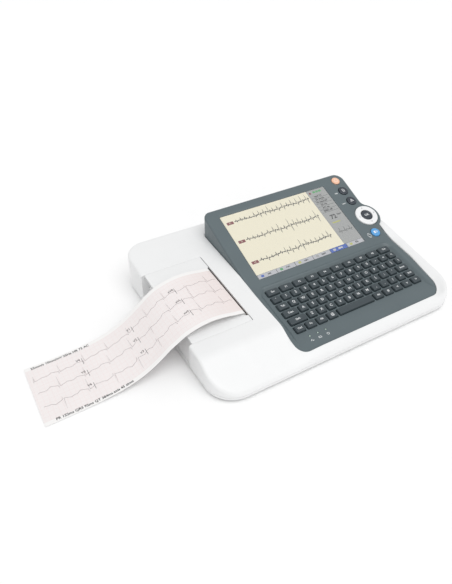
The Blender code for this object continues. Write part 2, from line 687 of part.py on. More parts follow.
def make_electronics():
    board = box((-58.0, 54.0), (-18.0, 46.0), (20.0, 21.6))
    parts = [box((-40.0, -16.0), (0.0, 24.0), (21.0, 25.0)), box((6.0, 20.0), (4.0, 18.0), (21.0, 23.5))]
    parts += [box((30.0, 46.0), (-10.0 + 16 * i, 0.0 + 16 * i), (21.0, 26.0)) for i in range(3)]
    parts += [disc((-50.0, y), 3.0, 21.0, 28.0, segments=12) for y in (-8.0, 8.0, 24.0)]
    place("main_board", join(board, *parts), (0, 10, 20), BOARD, 0.5)
    supply = box((60.0, 100.0), (-12.0, 44.0), (FLOOR_TOP + GAP, 8.0))
    parts = [box((64.0, 84.0), (-8.0, 14.0), (7.5, 26.0)), box((64.0, 96.0), (18.0, 24.0), (7.5, 24.0))]
    parts += [disc((92.0, y), 5.0, 7.5, 25.0, segments=12) for y in (-4.0, 8.0)]
    place("power_supply", join(supply, *parts), (80, 16, 8), (0.25, 0.2, 0.1), 0.6)
    battery = box((-40.0, 40.0), (-78.0, -24.0), (5.2, 16.5))
    place("battery_pack", battery, (0, -51, 10), (0.1, 0.2, 0.35), 0.5)
    speaker = turned([(5.4, 13.0), (8.0, 13.0), (8.4, 9.0), (14.0, 9.0)], (-77.0, 30.0), segments=20)
    place("speaker", speaker, (-77, 30, 8), BLACK, 0.6)


def socket(centre, size, y, recess, depth):
    """A box-shaped socket in the rear panel, open to the back."""
    x, z = centre
    half_x, half_z = size[0] / 2, size[1] / 2
    body = box((x - half_x, x + half_x), y, (z - half_z, z + half_z))
    half_x, half_z = recess[0] / 2, recess[1] / 2
    return combine(body, [box((x - half_x, x + half_x), (y[1] - depth, y[1] + 1), (z - half_z, z + half_z))])


def make_rear_panel():
    panel = box((-9.6, 94.6), (72.4, 75.0), (9.9, 35.6))
    holes = [
        box((-5.4, -5.4 + 6.8), (70, 78), (18.6, 25.4)),
        box((5.4, 20.6), (70, 78), (17.6, 26.4)),
        box((22.6, 39.4), (70, 78), (15.0, 29.2)),
        box((45.5, 58.5), (70, 78), (12.3, 31.7)),
        box((62.6, 91.0), (70, 78), (11.8, 32.2)),
    ]
    place("rear_panel", combine(panel, holes), (40, 74, 22), GREY, 0.5)
    place("ground_post", disc((-2.0, 22.0), 3.0, 62.0, 75.9, "Y", segments=16), (-2, 70, 22), (0.7, 0.55, 0.2), 0.3, 1.0)
    usb = socket((13.0, 22.0), (14.4, 8.0), (60.0, 75.4), (12.6, 5.4), 11.0)
    join(usb, box((8.0, 18.0), (63.5, 73.5), (22.6, 24.0)))
    place("usb_socket", usb, (13, 70, 22), STEEL, 0.35, 1.0)
    lan = socket((31.0, 22.1), (16.0, 13.4), (58.0, 75.4), (12.0, 9.0), 12.0)
    place("lan_socket", lan, (31, 70, 22), (0.7, 0.7, 0.68), 0.4)
    side = [(66.0, 15.0), (73.2, 14.0), (75.8, 14.2), (74.4, 22.0), (73.6, 29.9), (66.0, 29.0)]
    place("mains_rocker", prism(side, 46.0, 58.0, "X"), (52, 69, 22), BLACK, 0.4)
    inlet = socket((76.8, 22.0), (27.6, 19.6), (54.0, 75.4), (23.0, 15.0), 16.0)
    pins = [box((x - 1.0, x + 1.0), (58.0, 71.0), (z - 2.0, z + 2.0)) for x, z in ((70.5, 20.5), (76.8, 24.5), (83.1, 20.5))]
    place("mains_inlet", join(inlet, *pins), (77, 66, 22), BLACK, 0.45)


def make_patient_socket():
    body = box((104.0, 123.4), (15.6, 54.4), (14.0, 30.0))
    recess = rounded([(18.6, 16.6, 1.5), (51.4, 16.6, 1.5), (49.4, 27.4, 1.5), (20.6, 27.4, 1.5)], 3)
    combine(body, [prism(recess, 115.4, 130, "X")])
    tongue = [(22.0, 19.0), (48.0, 19.0), (47.0, 25.0), (23.0, 25.0)]
    join(body, prism(tongue, 114.0, 119.5, "X"))
    place("patient_socket", body, (114, 35, 22), (0.35, 0.37, 0.4), 0.4)


def main():
    for obj in list(bpy.data.objects):
        bpy.data.objects.remove(obj, do_unlink=True)
    make_top_shell()
    make_base_shell()
    make_feet_and_screws()
    make_console_cover()
    make_screen()
    make_keys()
    make_console_boards()
    make_controls()
    make_drawer()
    make_roll()
    make_platen_drive()
    make_print_head()
    make_rails()
    make_paper()
    make_electronics()
    make_rear_panel()
    make_patient_socket()


main()
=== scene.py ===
"""ECG machine: the visible surfaces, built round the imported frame.

Shapes are drawn in millimetres about the point of the table below the middle of the screen, as on a drawing
of the machine, and place() moves them into the frame. The shift between the two comes from the frame's boxes.
"""

import json
import math
import random
from bisect import bisect_right

import bmesh
import bpy
from mathutils import Matrix, Vector
from mathutils.geometry import delaunay_2d_cdt


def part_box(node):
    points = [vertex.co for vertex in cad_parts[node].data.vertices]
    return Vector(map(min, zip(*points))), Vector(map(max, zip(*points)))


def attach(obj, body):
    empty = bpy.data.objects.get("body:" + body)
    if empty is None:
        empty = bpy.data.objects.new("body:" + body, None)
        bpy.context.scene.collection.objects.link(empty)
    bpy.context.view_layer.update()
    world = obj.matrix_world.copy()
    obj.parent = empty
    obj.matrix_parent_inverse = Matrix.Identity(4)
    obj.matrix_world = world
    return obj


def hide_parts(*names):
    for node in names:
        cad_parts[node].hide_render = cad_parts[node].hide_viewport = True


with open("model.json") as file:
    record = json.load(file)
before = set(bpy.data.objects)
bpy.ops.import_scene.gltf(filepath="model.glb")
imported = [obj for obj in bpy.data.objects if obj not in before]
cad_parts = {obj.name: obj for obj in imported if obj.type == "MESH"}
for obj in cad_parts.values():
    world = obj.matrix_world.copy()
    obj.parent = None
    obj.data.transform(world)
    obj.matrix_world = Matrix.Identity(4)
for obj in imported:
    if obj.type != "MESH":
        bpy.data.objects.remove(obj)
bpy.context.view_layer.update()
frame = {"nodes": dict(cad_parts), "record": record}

MM = 0.001
LEFT, RIGHT, FRONT, REAR = -192.0, 124.0, -158.0, 76.0
body_low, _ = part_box("top_shell")
SHIFT = Vector((body_low.x / MM - LEFT, body_low.y / MM - FRONT, 0.0))

FEET = 2.5
FLOOR_TOP = 5.0
PARTING = 7.0
WALL = 2.5
GAP = 0.35
SEAM = 0.18
EDGE_RADIUS = 3.2  # rounding between the top and the side walls

# Top surfaces are planes that slope towards the front: (height at y 0, slope).
PLATEAU = (41.5, 0.07)
RIM = (44.76, 0.18)
SCREEN = (51.9, 0.3725)
CREASE_Y = -55.6
DECK = (SCREEN[0] + (SCREEN[1] - 0.18) * CREASE_Y, 0.18)
BLOCK_RIGHT = -96.0
RAMP_CREASE = -118.0

# Beside the keyboard the white top dips by this much, from this far out, round the deck's front right corner.
DIP, DIP_REACH = 3.2, 9.5
DECK_CORNER = (84.0, -124.0)
DECK_CORNER_RADIUS = 25.5

COVER = 2.2
BASIN = 2.5
SCREEN_HALF = (77.0, 47.35)
NAV = (104.4, -14.3)
NAV_RADIUS = 15.0
BULGE_RADIUS = 19.4
MARK_LOW, MARK_HIGH = 1.0, 1.22

KEYS_LEFT, KEYS_RIGHT = -79.6, 98.7
KEY_GAP = 2.3
KEY_DEPTH = 8.6
ROW_PITCH = 11.04
FIRST_ROW = -8.5
CAP_TOP = 0.2
LEDS = (-69.2, -58.95, -48.7)
LED_D = -76.0

DRAWER_FRONT, DRAWER_REAR = -96.6, 17.4
SEAM_X, SLOT_X = -118.9, -121.9
PAPER_WIDTH = 80.0
PAPER_THICK = 0.35
PAPER_Y = -46.5
PAPER_DRIFT = -6.8
PAPER_END = -337.0
PLATEN = (-127.2, 25.8)
PLATEN_RADIUS = 6.0
ROLL = (-158.0, 19.6)
ROLL_RADIUS = 13.0


# ---------------------------------------------------------------- outlines and surfaces


def height(surface, y, drop=0.0):
    """Height of a sloping top surface at y, or of one that lies drop below it."""
    at_zero, slope = surface
    return at_zero + slope * y - drop * math.hypot(1.0, slope)


def crossing(one, other):
    return (other[0] - one[0]) / (one[1] - other[1])


def smoothstep(low, high, value):
    t = min(1.0, max(0.0, (value - low) / (high - low)))
    return t * t * (3 - 2 * t)


def rounded(corners, segments=8):
    """An outline from corners (u, v, radius), each with a radius turned into an arc."""
    outline = []
    for i, (u, v, radius) in enumerate(corners):
        here = Vector((u, v))
        if radius == 0:
            outline.append((u, v))
            continue
        before = (Vector(corners[i - 1][:2]) - here).normalized()
        after = (Vector(corners[(i + 1) % len(corners)][:2]) - here).normalized()
        half = before.angle(after) / 2
        centre = here + (before + after).normalized() * (radius / math.sin(half))
        start = here + before * (radius / math.tan(half)) - centre
        end = here + after * (radius / math.tan(half)) - centre
        first = math.atan2(start.y, start.x)
        sweep = math.remainder(math.atan2(end.y, end.x) - first, math.tau)
        for step in range(segments + 1):
            angle = first + sweep * step / segments
            outline.append((centre.x + radius * math.cos(angle), centre.y + radius * math.sin(angle)))
    return outline


def rectangle(left, right, low, high, radius=0.0, segments=6):
    corners = [(left, low, radius), (right, low, radius), (right, high, radius), (left, high, radius)]
    return rounded(corners, segments)


def circle(centre, radius, segments=48):
    angles = [math.tau * step / segments for step in range(segments)]
    return [(centre[0] + radius * math.cos(a), centre[1] + radius * math.sin(a)) for a in angles]


def divided(outline, longest):
    """The same outline with its long sides cut into lengths of at most longest."""
    points = []
    for i, point in enumerate(outline):
        start, end = Vector(point), Vector(outline[(i + 1) % len(outline)])
        count = max(1, math.ceil((end - start).length / longest))
        points += [tuple(start.lerp(end, step / count)) for step in range(count)]
    return points


def grown(outline, distance):
    """An outline that runs anticlockwise, moved outwards by distance, or inwards if it is negative."""
    moved = []
    for i, point in enumerate(outline):
        here = Vector(point)
        before = (here - Vector(outline[i - 1])).normalized()
        after = (Vector(outline[(i + 1) % len(outline)]) - here).normalized()
        normal = Vector((before.y + after.y, -before.x - after.x)).normalized()
        stretch = max(0.4, normal.dot(Vector((before.y, -before.x))))
        moved.append(tuple(here + normal * (distance / stretch)))
    return moved


def body_plan(inset):
    return rounded(
        [
            (LEFT + inset, FRONT + inset, 30 - inset),
            (RIGHT - inset, FRONT + inset, 35 - inset),
            (RIGHT - inset, REAR - inset, 25 - inset),
            (LEFT + inset, REAR - inset, 25 - inset),
        ],
        18,
    )


def console_plan(grow):
    """The console's foot, without the bulge round the rocker disc."""
    return rounded(
        [
            (-94.8 - grow, -148.2 - grow, 13 + grow),
            (108.0 + grow, -148.2 - grow, 24 + grow),
            (112.6 + grow, -88.0, 60),
            (111.3 + grow, -42.0, 30),
            (113.4 + grow, -30.0, 0),
            (113.4 + grow, 8.0, 30),
            (111.3 + grow, 30.0, 40),
            (113.6 + grow, 57.8 + grow, 12 + grow),
            (-94.8 - grow, 56.6 + grow, 9 + grow),
        ],
        10,
    )


def bulge(side_low, side_high, fillet, squeeze):
    """The disc's bulge from below, with a fillet to the side at each end. squeeze shortens it in y."""
    centre = NAV[1]
    points = []
    for side, end in ((side_low, -1), (side_high, 1)):
        reach = BULGE_RADIUS + fillet
        across = side + fillet - NAV[0]
        up = math.sqrt(reach * reach - across * across)
        lean = math.atan2(up, across)
        hollow = [
            (side + fillet - fillet * math.cos(lean * t / 6), end * (up - fillet * math.sin(lean * t / 6)))
            for t in range(7)
        ]
        turns = [lean * t / 12 for t in range(11, 0, -1)]
        arc = [(NAV[0] + BULGE_RADIUS * math.cos(a), end * BULGE_RADIUS * math.sin(a)) for a in turns]
        stretch = hollow + arc
        points += stretch if end < 0 else [(NAV[0] + BULGE_RADIUS, 0.0)] + stretch[::-1]
    return [(x, (y + centre) * squeeze, 0) for x, y in points]


def console_outline():
    squeeze = math.cos(math.atan(SCREEN[1]))
    front = [(-94.8, -148.2, 13), (108.0, -148.2, 24), (112.6, -88.0, 60)]
    rear = [(113.6, 57.8, 12), (-94.8, 56.6, 9)]
    return rounded(front + bulge(111.7, 111.2, 9.0, squeeze) + rear, 12)


def follow(profile):
    """Height of a profile of (y, z) points at any y."""
    ys = [y for y, _ in profile]

    def at(y):
        i = min(max(bisect_right(ys, y), 1), len(ys) - 1)
        (y0, z0), (y1, z1) = profile[i - 1], profile[i]
        return z0 + (z1 - z0) * (y - y0) / (y1 - y0)

    return at


def ramp_profile():
    """The printer block from front to rear: a ramp, rounded into the plateau."""
    rear = (REAR + 1, height(PLATEAU, REAR + 1), 0)
    return rounded([(FRONT - 1, 9.9, 0), (RAMP_CREASE, height(PLATEAU, RAMP_CREASE), 24), rear], 12)


def rim_profile():
    """The rest of the top: a steep front edge, the slope beside the keyboard, the plateau."""
    bend = crossing(RIM, PLATEAU)
    return rounded(
        [
            (FRONT - 1, 11.3, 0),
            (-150.9, height(RIM, -150.9), 9),
            (bend, height(RIM, bend), 60),
            (REAR + 1, height(PLATEAU, REAR + 1), 0),
        ],
        12,
    )


ramp_height = follow(ramp_profile())
rim_height = follow(rim_profile())


def white_top(x, y):
    """Height of the housing's top. Beside the keyboard it dips, to meet the deck's edge."""
    blend = 1.5 + 22.0 * smoothstep(-132.0, -150.0, y)
    share = smoothstep(BLOCK_RIGHT - blend * 0.6, BLOCK_RIGHT + blend * 1.4, x)
    from_deck = math.hypot(x - DECK_CORNER[0], min(y - DECK_CORNER[1], 0.0)) - DECK_CORNER_RADIUS
    beside_keys = smoothstep(86.0, 102.0, x) * smoothstep(-35.0, -60.0, y)
    dip = DIP * smoothstep(DIP_REACH, 1.0, from_deck) * beside_keys
    return ramp_height(y) * (1 - share) + rim_height(y) * share - dip


def plateau(x, y):
    return height(PLATEAU, y)


def console_top(x, y):
    """The deck and the screen's slope, run together in the crease between them."""
    soft = 0.18
    rise = (height(SCREEN, y) - height(DECK, y)) / soft
    return height(DECK, y) + soft * (rise if rise > 30 else math.log1p(math.exp(rise)))


# ---------------------------------------------------------------- solids


def solid(bm, matrix=None):
    bmesh.ops.recalc_face_normals(bm, faces=bm.faces)
    mesh = bpy.data.meshes.new("solid")
    bm.to_mesh(mesh)
    bm.free()
    if matrix is not None:
        mesh.transform(matrix)
    obj = bpy.data.objects.new("solid", mesh)
    bpy.context.scene.collection.objects.link(obj)
    return obj


def along(axis, u, v, w):
    return {"X": (w, u, v), "Y": (u, w, v), "Z": (u, v, w)}[axis]


def ring_verts(bm, rings):
    return [[bm.verts.new(point) for point in ring] for ring in rings]


def skin(bm, rings, closed=False):
    """Faces from each ring of vertices to the next, and from the last to the first if closed."""
    pairs = list(zip(rings, rings[1:]))
    if closed:
        pairs.append((rings[-1], rings[0]))
    faces = []
    for low, high in pairs:
        for i in range(len(low)):
            faces.append(bm.faces.new((low[i - 1], low[i], high[i], high[i - 1])))
    return faces


def loft(rings, matrix=None, hollow=False):
    """Skins rings of points, with the first and the last filled in, or joined to each other if hollow."""
    bm = bmesh.new()
    made = ring_verts(bm, rings)
    if not hollow:
        bm.faces.new(made[0])
        bm.faces.new(made[-1])
    skin(bm, made, hollow)
    return solid(bm, matrix)


def prism(outline, low, high, axis="Z", matrix=None):
    return loft([[along(axis, u, v, w) for u, v in outline] for w in (low, high)], matrix)


def box(x, y, z, matrix=None):
    return prism(rectangle(*x, *y), z[0], z[1], "Z", matrix)


def disc(centre, radius, low, high, axis="Z", matrix=None, segments=48):
    return prism(circle(centre, radius, segments), low, high, axis, matrix)


def turned(profile, centre, axis="Z", matrix=None, segments=64, hollow=False):
    """A profile of (place along the axis, radius) turned about it."""
    rings = [[along(axis, u, v, w) for u, v in circle(centre, radius, segments)] for w, radius in profile]
    return loft(rings, matrix, hollow)


def quarter(radius, steps=5):
    """(inset, drop) of a rounded edge, from the wall up to the top."""
    turns = [math.pi / 2 * step / steps for step in range(steps + 1)]
    return [(radius * (1 - math.cos(a)), radius * (1 - math.sin(a))) for a in turns]


def mound(outline, top, bottom, radius_at, rows, steps=5, chamfer=0.3):
    """A solid on a flat bottom, whose top follows top(x, y), sampled at rows of (y, spacing).

    Its edge is rounded by radius_at(y)."""
    bm = bmesh.new()
    rings = [[(x, y, bottom) for x, y in grown(outline, -chamfer)]]
    rings.append([(x, y, bottom + chamfer) for x, y in outline])
    one_in = grown(outline, -1.0)
    for inset, drop in quarter(1.0, steps):
        ring = []
        for start, end in zip(outline, one_in):
            radius = radius_at(start[1])
            x, y = Vector(start).lerp(Vector(end), inset * radius)
            ring.append((x, y, top(x, y) - drop * radius))
        rings.append(ring)
    made = ring_verts(bm, rings)
    bm.faces.new(made[0])
    skin(bm, made)
    edge = [Vector(point[:2]) for point in rings[-1]]
    inner = grown([tuple(p) for p in edge], -1.0)
    points = edge + [Vector(p) for p in inside(inner, rows)]
    coords, _, faces, origins, _, _ = delaunay_2d_cdt(points, [], [list(range(len(edge)))], 1, 1e-5)
    corners = []
    for coord, origin in zip(coords, origins):
        if origin and origin[0] < len(edge):
            corners.append(made[-1][origin[0]])
        else:
            corners.append(bm.verts.new((coord.x, coord.y, top(coord.x, coord.y))))
    for face in faces:
        bm.faces.new([corners[i] for i in face])
    return solid(bm)


def inside(outline, rows):
    """Points within an outline: on each row (y, spacing), at multiples of spacing from edge to edge."""
    points = []
    for y, spacing in rows:
        cuts = []
        for (x0, y0), (x1, y1) in zip(outline, outline[1:] + outline[:1]):
            if (y0 > y) != (y1 > y):
                cuts.append(x0 + (x1 - x0) * (y - y0) / (y1 - y0))
        cuts.sort()
        for start, end in zip(cuts[::2], cuts[1::2]):
            first = math.ceil(start / spacing)
            points += [(n * spacing, y) for n in range(first, math.floor(end / spacing) + 1)]
    return points


def spaced(low, high, step):
    count = round(abs(high - low) / step)
    return [low + (high - low) * i / count for i in range(count + 1)]


def well(outline, top, bottom, lip, matrix=None, above=12.0):
    """A cutter from above whose mouth flares out by a rounded lip where it meets the surface top(x, y)."""
    rings = [[(x, y, bottom) for x, y in outline]]
    for inset, drop in quarter(lip, 3):
        rings.append([(x, y, top(x, y) - drop) for x, y in grown(outline, inset)])
    mouth = grown(outline, lip + 0.02)
    highest = max(z for _, _, z in rings[-1]) + above
    rings.append([(x, y, highest) for x, y in mouth])
    return loft(rings, matrix)


def flat(x, y):
    return 0.0


def combine(obj, others, operation="DIFFERENCE"):
    for other in others:
        modifier = obj.modifiers.new("combine", "BOOLEAN")
        modifier.operation = operation
        modifier.object = other
    bpy.context.view_layer.update()
    evaluated = obj.evaluated_get(bpy.context.evaluated_depsgraph_get())
    mesh = bpy.data.meshes.new_from_object(evaluated)
    obj.modifiers.clear()
    obj.data = mesh
    for other in others:
        bpy.data.objects.remove(other, do_unlink=True)
    return obj


def join(obj, *others):
    return combine(obj, others, "UNION")


def shared(obj, *others):
    return combine(obj, others, "INTERSECT")


def soften(obj, width, segments=2, angle=50.0):
    """Rounds the edges that turn by more than angle degrees, on a plain solid."""
    modifier = obj.modifiers.new("soften", "BEVEL")
    modifier.width = width
    modifier.segments = segments
    modifier.limit_method = "ANGLE"
    modifier.angle_limit = math.radians(angle)
    return combine(obj, [])


def tilted_frame(surface, y):
    origin = Matrix.Translation((0.0, y, height(surface, y)))
    return origin @ Matrix.Rotation(math.atan(surface[1]), 4, "X")


ON_SCREEN = tilted_frame(SCREEN, 0.0)
ON_DECK = tilted_frame(DECK, CREASE_Y)


def place(name, obj, materials, body="machine", replaces=(), angle=35.0, weighted=True):
    """Names a piece, moves it into the frame in metres, gives it its materials and its body."""
    obj.data.transform(Matrix.Scale(MM, 4) @ Matrix.Translation(SHIFT))
    obj.name = name
    obj.data.name = name
    materials = materials if isinstance(materials, list) else [materials]
    kept = [p.material_index for p in obj.data.polygons]
    obj.data.materials.clear()
    for material in materials:
        obj.data.materials.append(material)
    if len(materials) > 1:
        obj.data.polygons.foreach_set("material_index", kept)
    obj.data.shade_smooth()
    obj.data.set_sharp_from_angle(angle=math.radians(angle))
    if weighted:
        obj.modifiers.new("normals", "WEIGHTED_NORMAL").keep_sharp = True
    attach(obj, body)
    if replaces:
        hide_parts(*replaces)
    return obj


# ---------------------------------------------------------------- materials


def srgb(red, green, blue):
    """A colour given as it shows on a screen, 0 to 255, in linear light."""
    channels = []
    for c in (red / 255, green / 255, blue / 255):
        channels.append(c / 12.92 if c <= 0.04045 else ((c + 0.055) / 1.055) ** 2.4)
    return tuple(channels)


def scaled(colour, share):
    return tuple(c * share for c in colour)


class Look:
    """A new material, with a short call for each kind of node that goes into it."""

    def __init__(self, name):
        self.material = bpy.data.materials.new(name)
        self.material.use_nodes = True
        self.tree = self.material.node_tree
        self.shader = self.tree.nodes["Principled BSDF"]
        self.coords = self.node("TexCoord").outputs["Object"]

    def fill(self, socket, value):
        """Gives a socket a number, a colour or a vector, or another socket to follow."""
        if isinstance(value, bpy.types.NodeSocket):
            self.tree.links.new(value, socket)
        else:
            socket.default_value = (*value, 1.0) if socket.type == "RGBA" else value

    def node(self, kind, inputs=(), operation=None):
        made = self.tree.nodes.new("ShaderNode" + kind)
        if operation:
            made.operation = operation
        for key, value in dict(inputs).items():
            self.fill(made.inputs[key], value)
        return made

    def set(self, name, value):
        self.fill(self.shader.inputs[name], value)

    def calc(self, operation, value, other=0.0):
        return self.node("Math", {0: value, 1: other}, operation).outputs[0]

    def noise(self, scale, detail=2.0, coords=None):
        inputs = {"Scale": scale, "Detail": detail, "Vector": self.coords if coords is None else coords}
        return self.node("TexNoise", inputs).outputs["Fac"]

    def mapped(self, value, low, high, from_low=0.3, from_high=0.7):
        ends = {"From Min": from_low, "From Max": from_high, "To Min": low, "To Max": high}
        return self.node("MapRange", {"Value": value, **ends}).outputs["Result"]

    def mixed(self, share, low, high):
        """A colour between low and high, either of which may be a socket."""
        made = self.node("Mix")
        made.data_type = "RGBA"
        for key, value in ((0, share), (6, low), (7, high)):
            self.fill(made.inputs[key], value)
        return made.outputs[2]

    def bump(self, value, depth, strength=0.35):
        made = self.node("Bump", {"Strength": strength, "Distance": depth * MM, "Height": value})
        self.set("Normal", made.outputs["Normal"])


def plastic(name, colour, roughness=0.45, variation=0.03, grain=1100.0, bump=0.012, coat=0.0):
    """Moulded or coated stuff: cloudy colour, uneven gloss and a fine grain in the surface."""
    look = Look(name)
    light = tuple(min(1.0, c) for c in scaled(colour, 1 + variation))
    cloud = look.mapped(look.noise(28.0, 4.0), 0.0, 1.0)
    look.set("Base Color", look.mixed(cloud, scaled(colour, 1 - variation), light))
    look.set("Roughness", look.mapped(look.noise(90.0, 3.0), roughness * 0.88, roughness * 1.12))
    look.set("Coat Weight", coat)
    look.bump(look.noise(grain), bump)
    return look.material


def brushed(name, colour, roughness=0.32):
    """Drawn or rolled metal with fine lines along one axis."""
    look = Look(name)
    stretched = look.node("Mapping", {"Vector": look.coords, "Scale": (1.0, 60.0, 60.0)})
    lines = look.noise(60.0, 3.0, stretched.outputs["Vector"])
    look.set("Base Color", look.mixed(lines, scaled(colour, 0.85), colour))
    look.set("Roughness", look.mapped(lines, roughness * 0.7, roughness * 1.3))
    look.set("Metallic", 1.0)
    look.bump(lines, 0.01, 0.2)
    return look.material


LIT_STRENGTH = 0.62
PIXEL_STRIPES = 2500.0
UNLIT_SHARE = 0.34


def lit(name, colour):
    """A lit part of the picture on the screen, with the fine stripes of its pixels."""
    look = Look(name)
    pixels = look.node("TexWave", {"Scale": PIXEL_STRIPES, "Vector": look.coords}).outputs["Fac"]
    unlit = scaled(colour, UNLIT_SHARE)
    look.set("Base Color", look.mixed(pixels, scaled(unlit, 0.9), unlit))
    look.set("Emission Color", look.mixed(pixels, scaled(colour, 0.96), colour))
    look.set("Emission Strength", LIT_STRENGTH)
    look.set("Roughness", 0.5)
    look.set("Specular IOR Level", 0.2)
    return look.material


def glass(name):
    """Clear hard-coated window: mostly see-through, with faint smears in its gloss."""
    look = Look(name)
    look.set("Base Color", (0.9, 0.93, 0.94))
    look.set("Alpha", 0.07)
    look.set("Roughness", look.mapped(look.noise(22.0, 5.0), 0.04, 0.12))
    look.bump(look.noise(800.0), 0.002, 0.1)
    return look.material


def chart_paper():
    """Thermal paper: white margins, a fine millimetre grid, a heavier one every 5 mm, a trace of fibre, and
    painted shade near the slot.

    The sheet's UV map is in metres, along the paper and across it."""
    look = Look("chart_paper")
    uv = look.node("TexCoord").outputs["UV"]
    in_mm = look.node("VectorMath", {0: uv, "Scale": 1.0 / MM}, "SCALE").outputs[0]
    split = look.node("SeparateXYZ", {0: in_mm})
    lengthwise, across = split.outputs[0], split.outputs[1]
    fibre, cloud = look.noise(420.0, 6.0), look.noise(30.0, 3.0)

    def line(value, pitch, width):
        """1 on a line of that width every pitch, 0 between."""
        away = look.calc("PINGPONG", value, pitch / 2)
        return look.mapped(away, 1.0, 0.0, width / 2, width / 2 + 0.06)

    def lines(pitch, width):
        return look.calc("MAXIMUM", line(lengthwise, pitch, width), line(across, pitch, width))

    white = look.mixed(fibre, (0.87, 0.86, 0.85), (0.90, 0.89, 0.88))
    # Painted shade: the paper turns darker and warmer over the 55 mm next to the slot and inside it, in place
    # of the shade where it curves out.
    shade_near_slot = look.mapped(lengthwise, 0.0, 1.0, 55.0, 0.0)
    tint = look.mixed(look.mapped(cloud, 0.0, 1.0), (0.85, 0.815, 0.81), (0.88, 0.845, 0.84))
    tint = look.mixed(shade_near_slot, tint, (0.82, 0.74, 0.715))
    fine = look.mixed(lines(1.0, 0.12), tint, (0.83, 0.76, 0.75))
    gridded = look.mixed(lines(5.0, 0.2), fine, (0.82, 0.70, 0.69))
    margin = look.mapped(look.calc("ABSOLUTE", across), 0.0, 1.0, 35.0, 35.6)
    look.set("Base Color", look.mixed(margin, gridded, white))
    look.set("Roughness", look.mapped(cloud, 0.55, 0.68))
    look.bump(fibre, 0.01, 0.3)
    return look.material


WHITE = plastic("white_moulding", (0.835, 0.84, 0.842), 0.38, 0.010, 1000.0, 0.008)
GREY = plastic("grey_console_paint", srgb(92, 104, 108), 0.33, 0.03, 1300.0, 0.008)
KEY = plastic("key_cap", srgb(58, 68, 73), 0.46, 0.05, 1500.0, 0.010)
LEGEND = plastic("printed_legend", srgb(226, 229, 230), 0.5, 0.03)
DARK_MARK = plastic("dark_mark", srgb(120, 122, 126), 0.5, 0.05)
CONTROL_BLACK = plastic("control_black", srgb(44, 52, 62), 0.28, 0.05, 1500.0, 0.006, 0.3)
CONTROL_ORANGE = plastic("control_orange", srgb(240, 190, 160), 0.3, 0.03, 1500.0, 0.005, 0.4)
CONTROL_BLUE = plastic("control_blue", srgb(84, 160, 220), 0.3, 0.04, 1500.0, 0.005, 0.4)
POWER_MARK = plastic("power_mark", srgb(250, 236, 226), 0.4, 0.02)
DISC_WHITE = plastic("disc_white", srgb(238, 239, 240), 0.34, 0.012, 1500.0, 0.005, 0.2)
LENS_GREEN = plastic("led_lens", srgb(170, 190, 180), 0.2, 0.05, 900.0, 0.004, 0.5)
GLASS = glass("screen_window")
CHART_PAPER = chart_paper()
INK = plastic("letter_ink", srgb(58, 54, 56), 0.6, 0.15, 900.0, 0.004)
INK_PALE = plastic("trace_ink", srgb(138, 126, 128), 0.6, 0.15, 900.0, 0.004)

LCD_BLACK = plastic("lcd_border", srgb(30, 31, 33), 0.3, 0.1)
PICTURE_COLOURS = {
    "cream": (240, 233, 208),
    "trace": (24, 22, 20),
    "red": (122, 30, 36),
    "side_panel": (158, 159, 158),
    "tab": (184, 185, 190),
    "blue": (30, 82, 176),
    "green": (70, 160, 90),
    "text": (30, 31, 34),
    "yellow": (180, 182, 90),
}
PICTURE_LOOKS = [LCD_BLACK] + [lit("lcd_" + name, srgb(*colour)) for name, colour in PICTURE_COLOURS.items()]
CREAM, TRACE, RED, PANEL, TAB, BLUE, GREEN, TEXT, YELLOW = range(1, len(PICTURE_LOOKS))

SLOT_LOOKS = {
    "white_housing": WHITE,
    "grey_housing": GREY,
    "screen_lens": GLASS,
    "lcd": LCD_BLACK,
    "steel": brushed("steel", (0.58, 0.59, 0.61)),
    "circuit_board": plastic("board_lacquer", (0.02, 0.16, 0.07), 0.4, 0.2, 300.0, 0.03, 0.3),
    "key_silicone": KEY,
    "light_pipe": LENS_GREEN,
    "white_control": DISC_WHITE,
    "black_plastic": plastic("black_moulding", srgb(36, 37, 39), 0.5, 0.08),
    "orange_button": CONTROL_ORANGE,
    "blue_button": CONTROL_BLUE,
    "rubber": plastic("black_rubber", srgb(34, 34, 35), 0.85, 0.12, 700.0, 0.03),
    "paper": plastic("plain_paper", (0.85, 0.83, 0.81), 0.7, 0.03, 2500.0, 0.01),
    "cardboard": plastic("card", (0.50, 0.38, 0.25), 0.9, 0.12, 500.0, 0.05),
    "brass": brushed("brass_plate", (0.78, 0.60, 0.30)),
    "gear_plastic": plastic("acetal", (0.80, 0.80, 0.74), 0.4, 0.03),
    "battery_wrap": plastic("battery_film", (0.08, 0.16, 0.30), 0.35, 0.06, 600.0, 0.02, 0.3),
    "print_head_ceramic": plastic("print_head_glaze", srgb(70, 58, 50), 0.3, 0.08, 900.0, 0.01, 0.2),
    "power_parts": plastic("power_block", srgb(60, 62, 66), 0.5, 0.1, 400.0, 0.03),
}


def dress_cad_nodes():
    """Gives the CAD nodes that stay visible the look of their slot."""
    for part in frame["record"]["subparts"]:
        node = frame["nodes"][part["node"]]
        node.data.materials.clear()
        node.data.materials.append(SLOT_LOOKS[part["material_slot"]])


# ---------------------------------------------------------------- housing


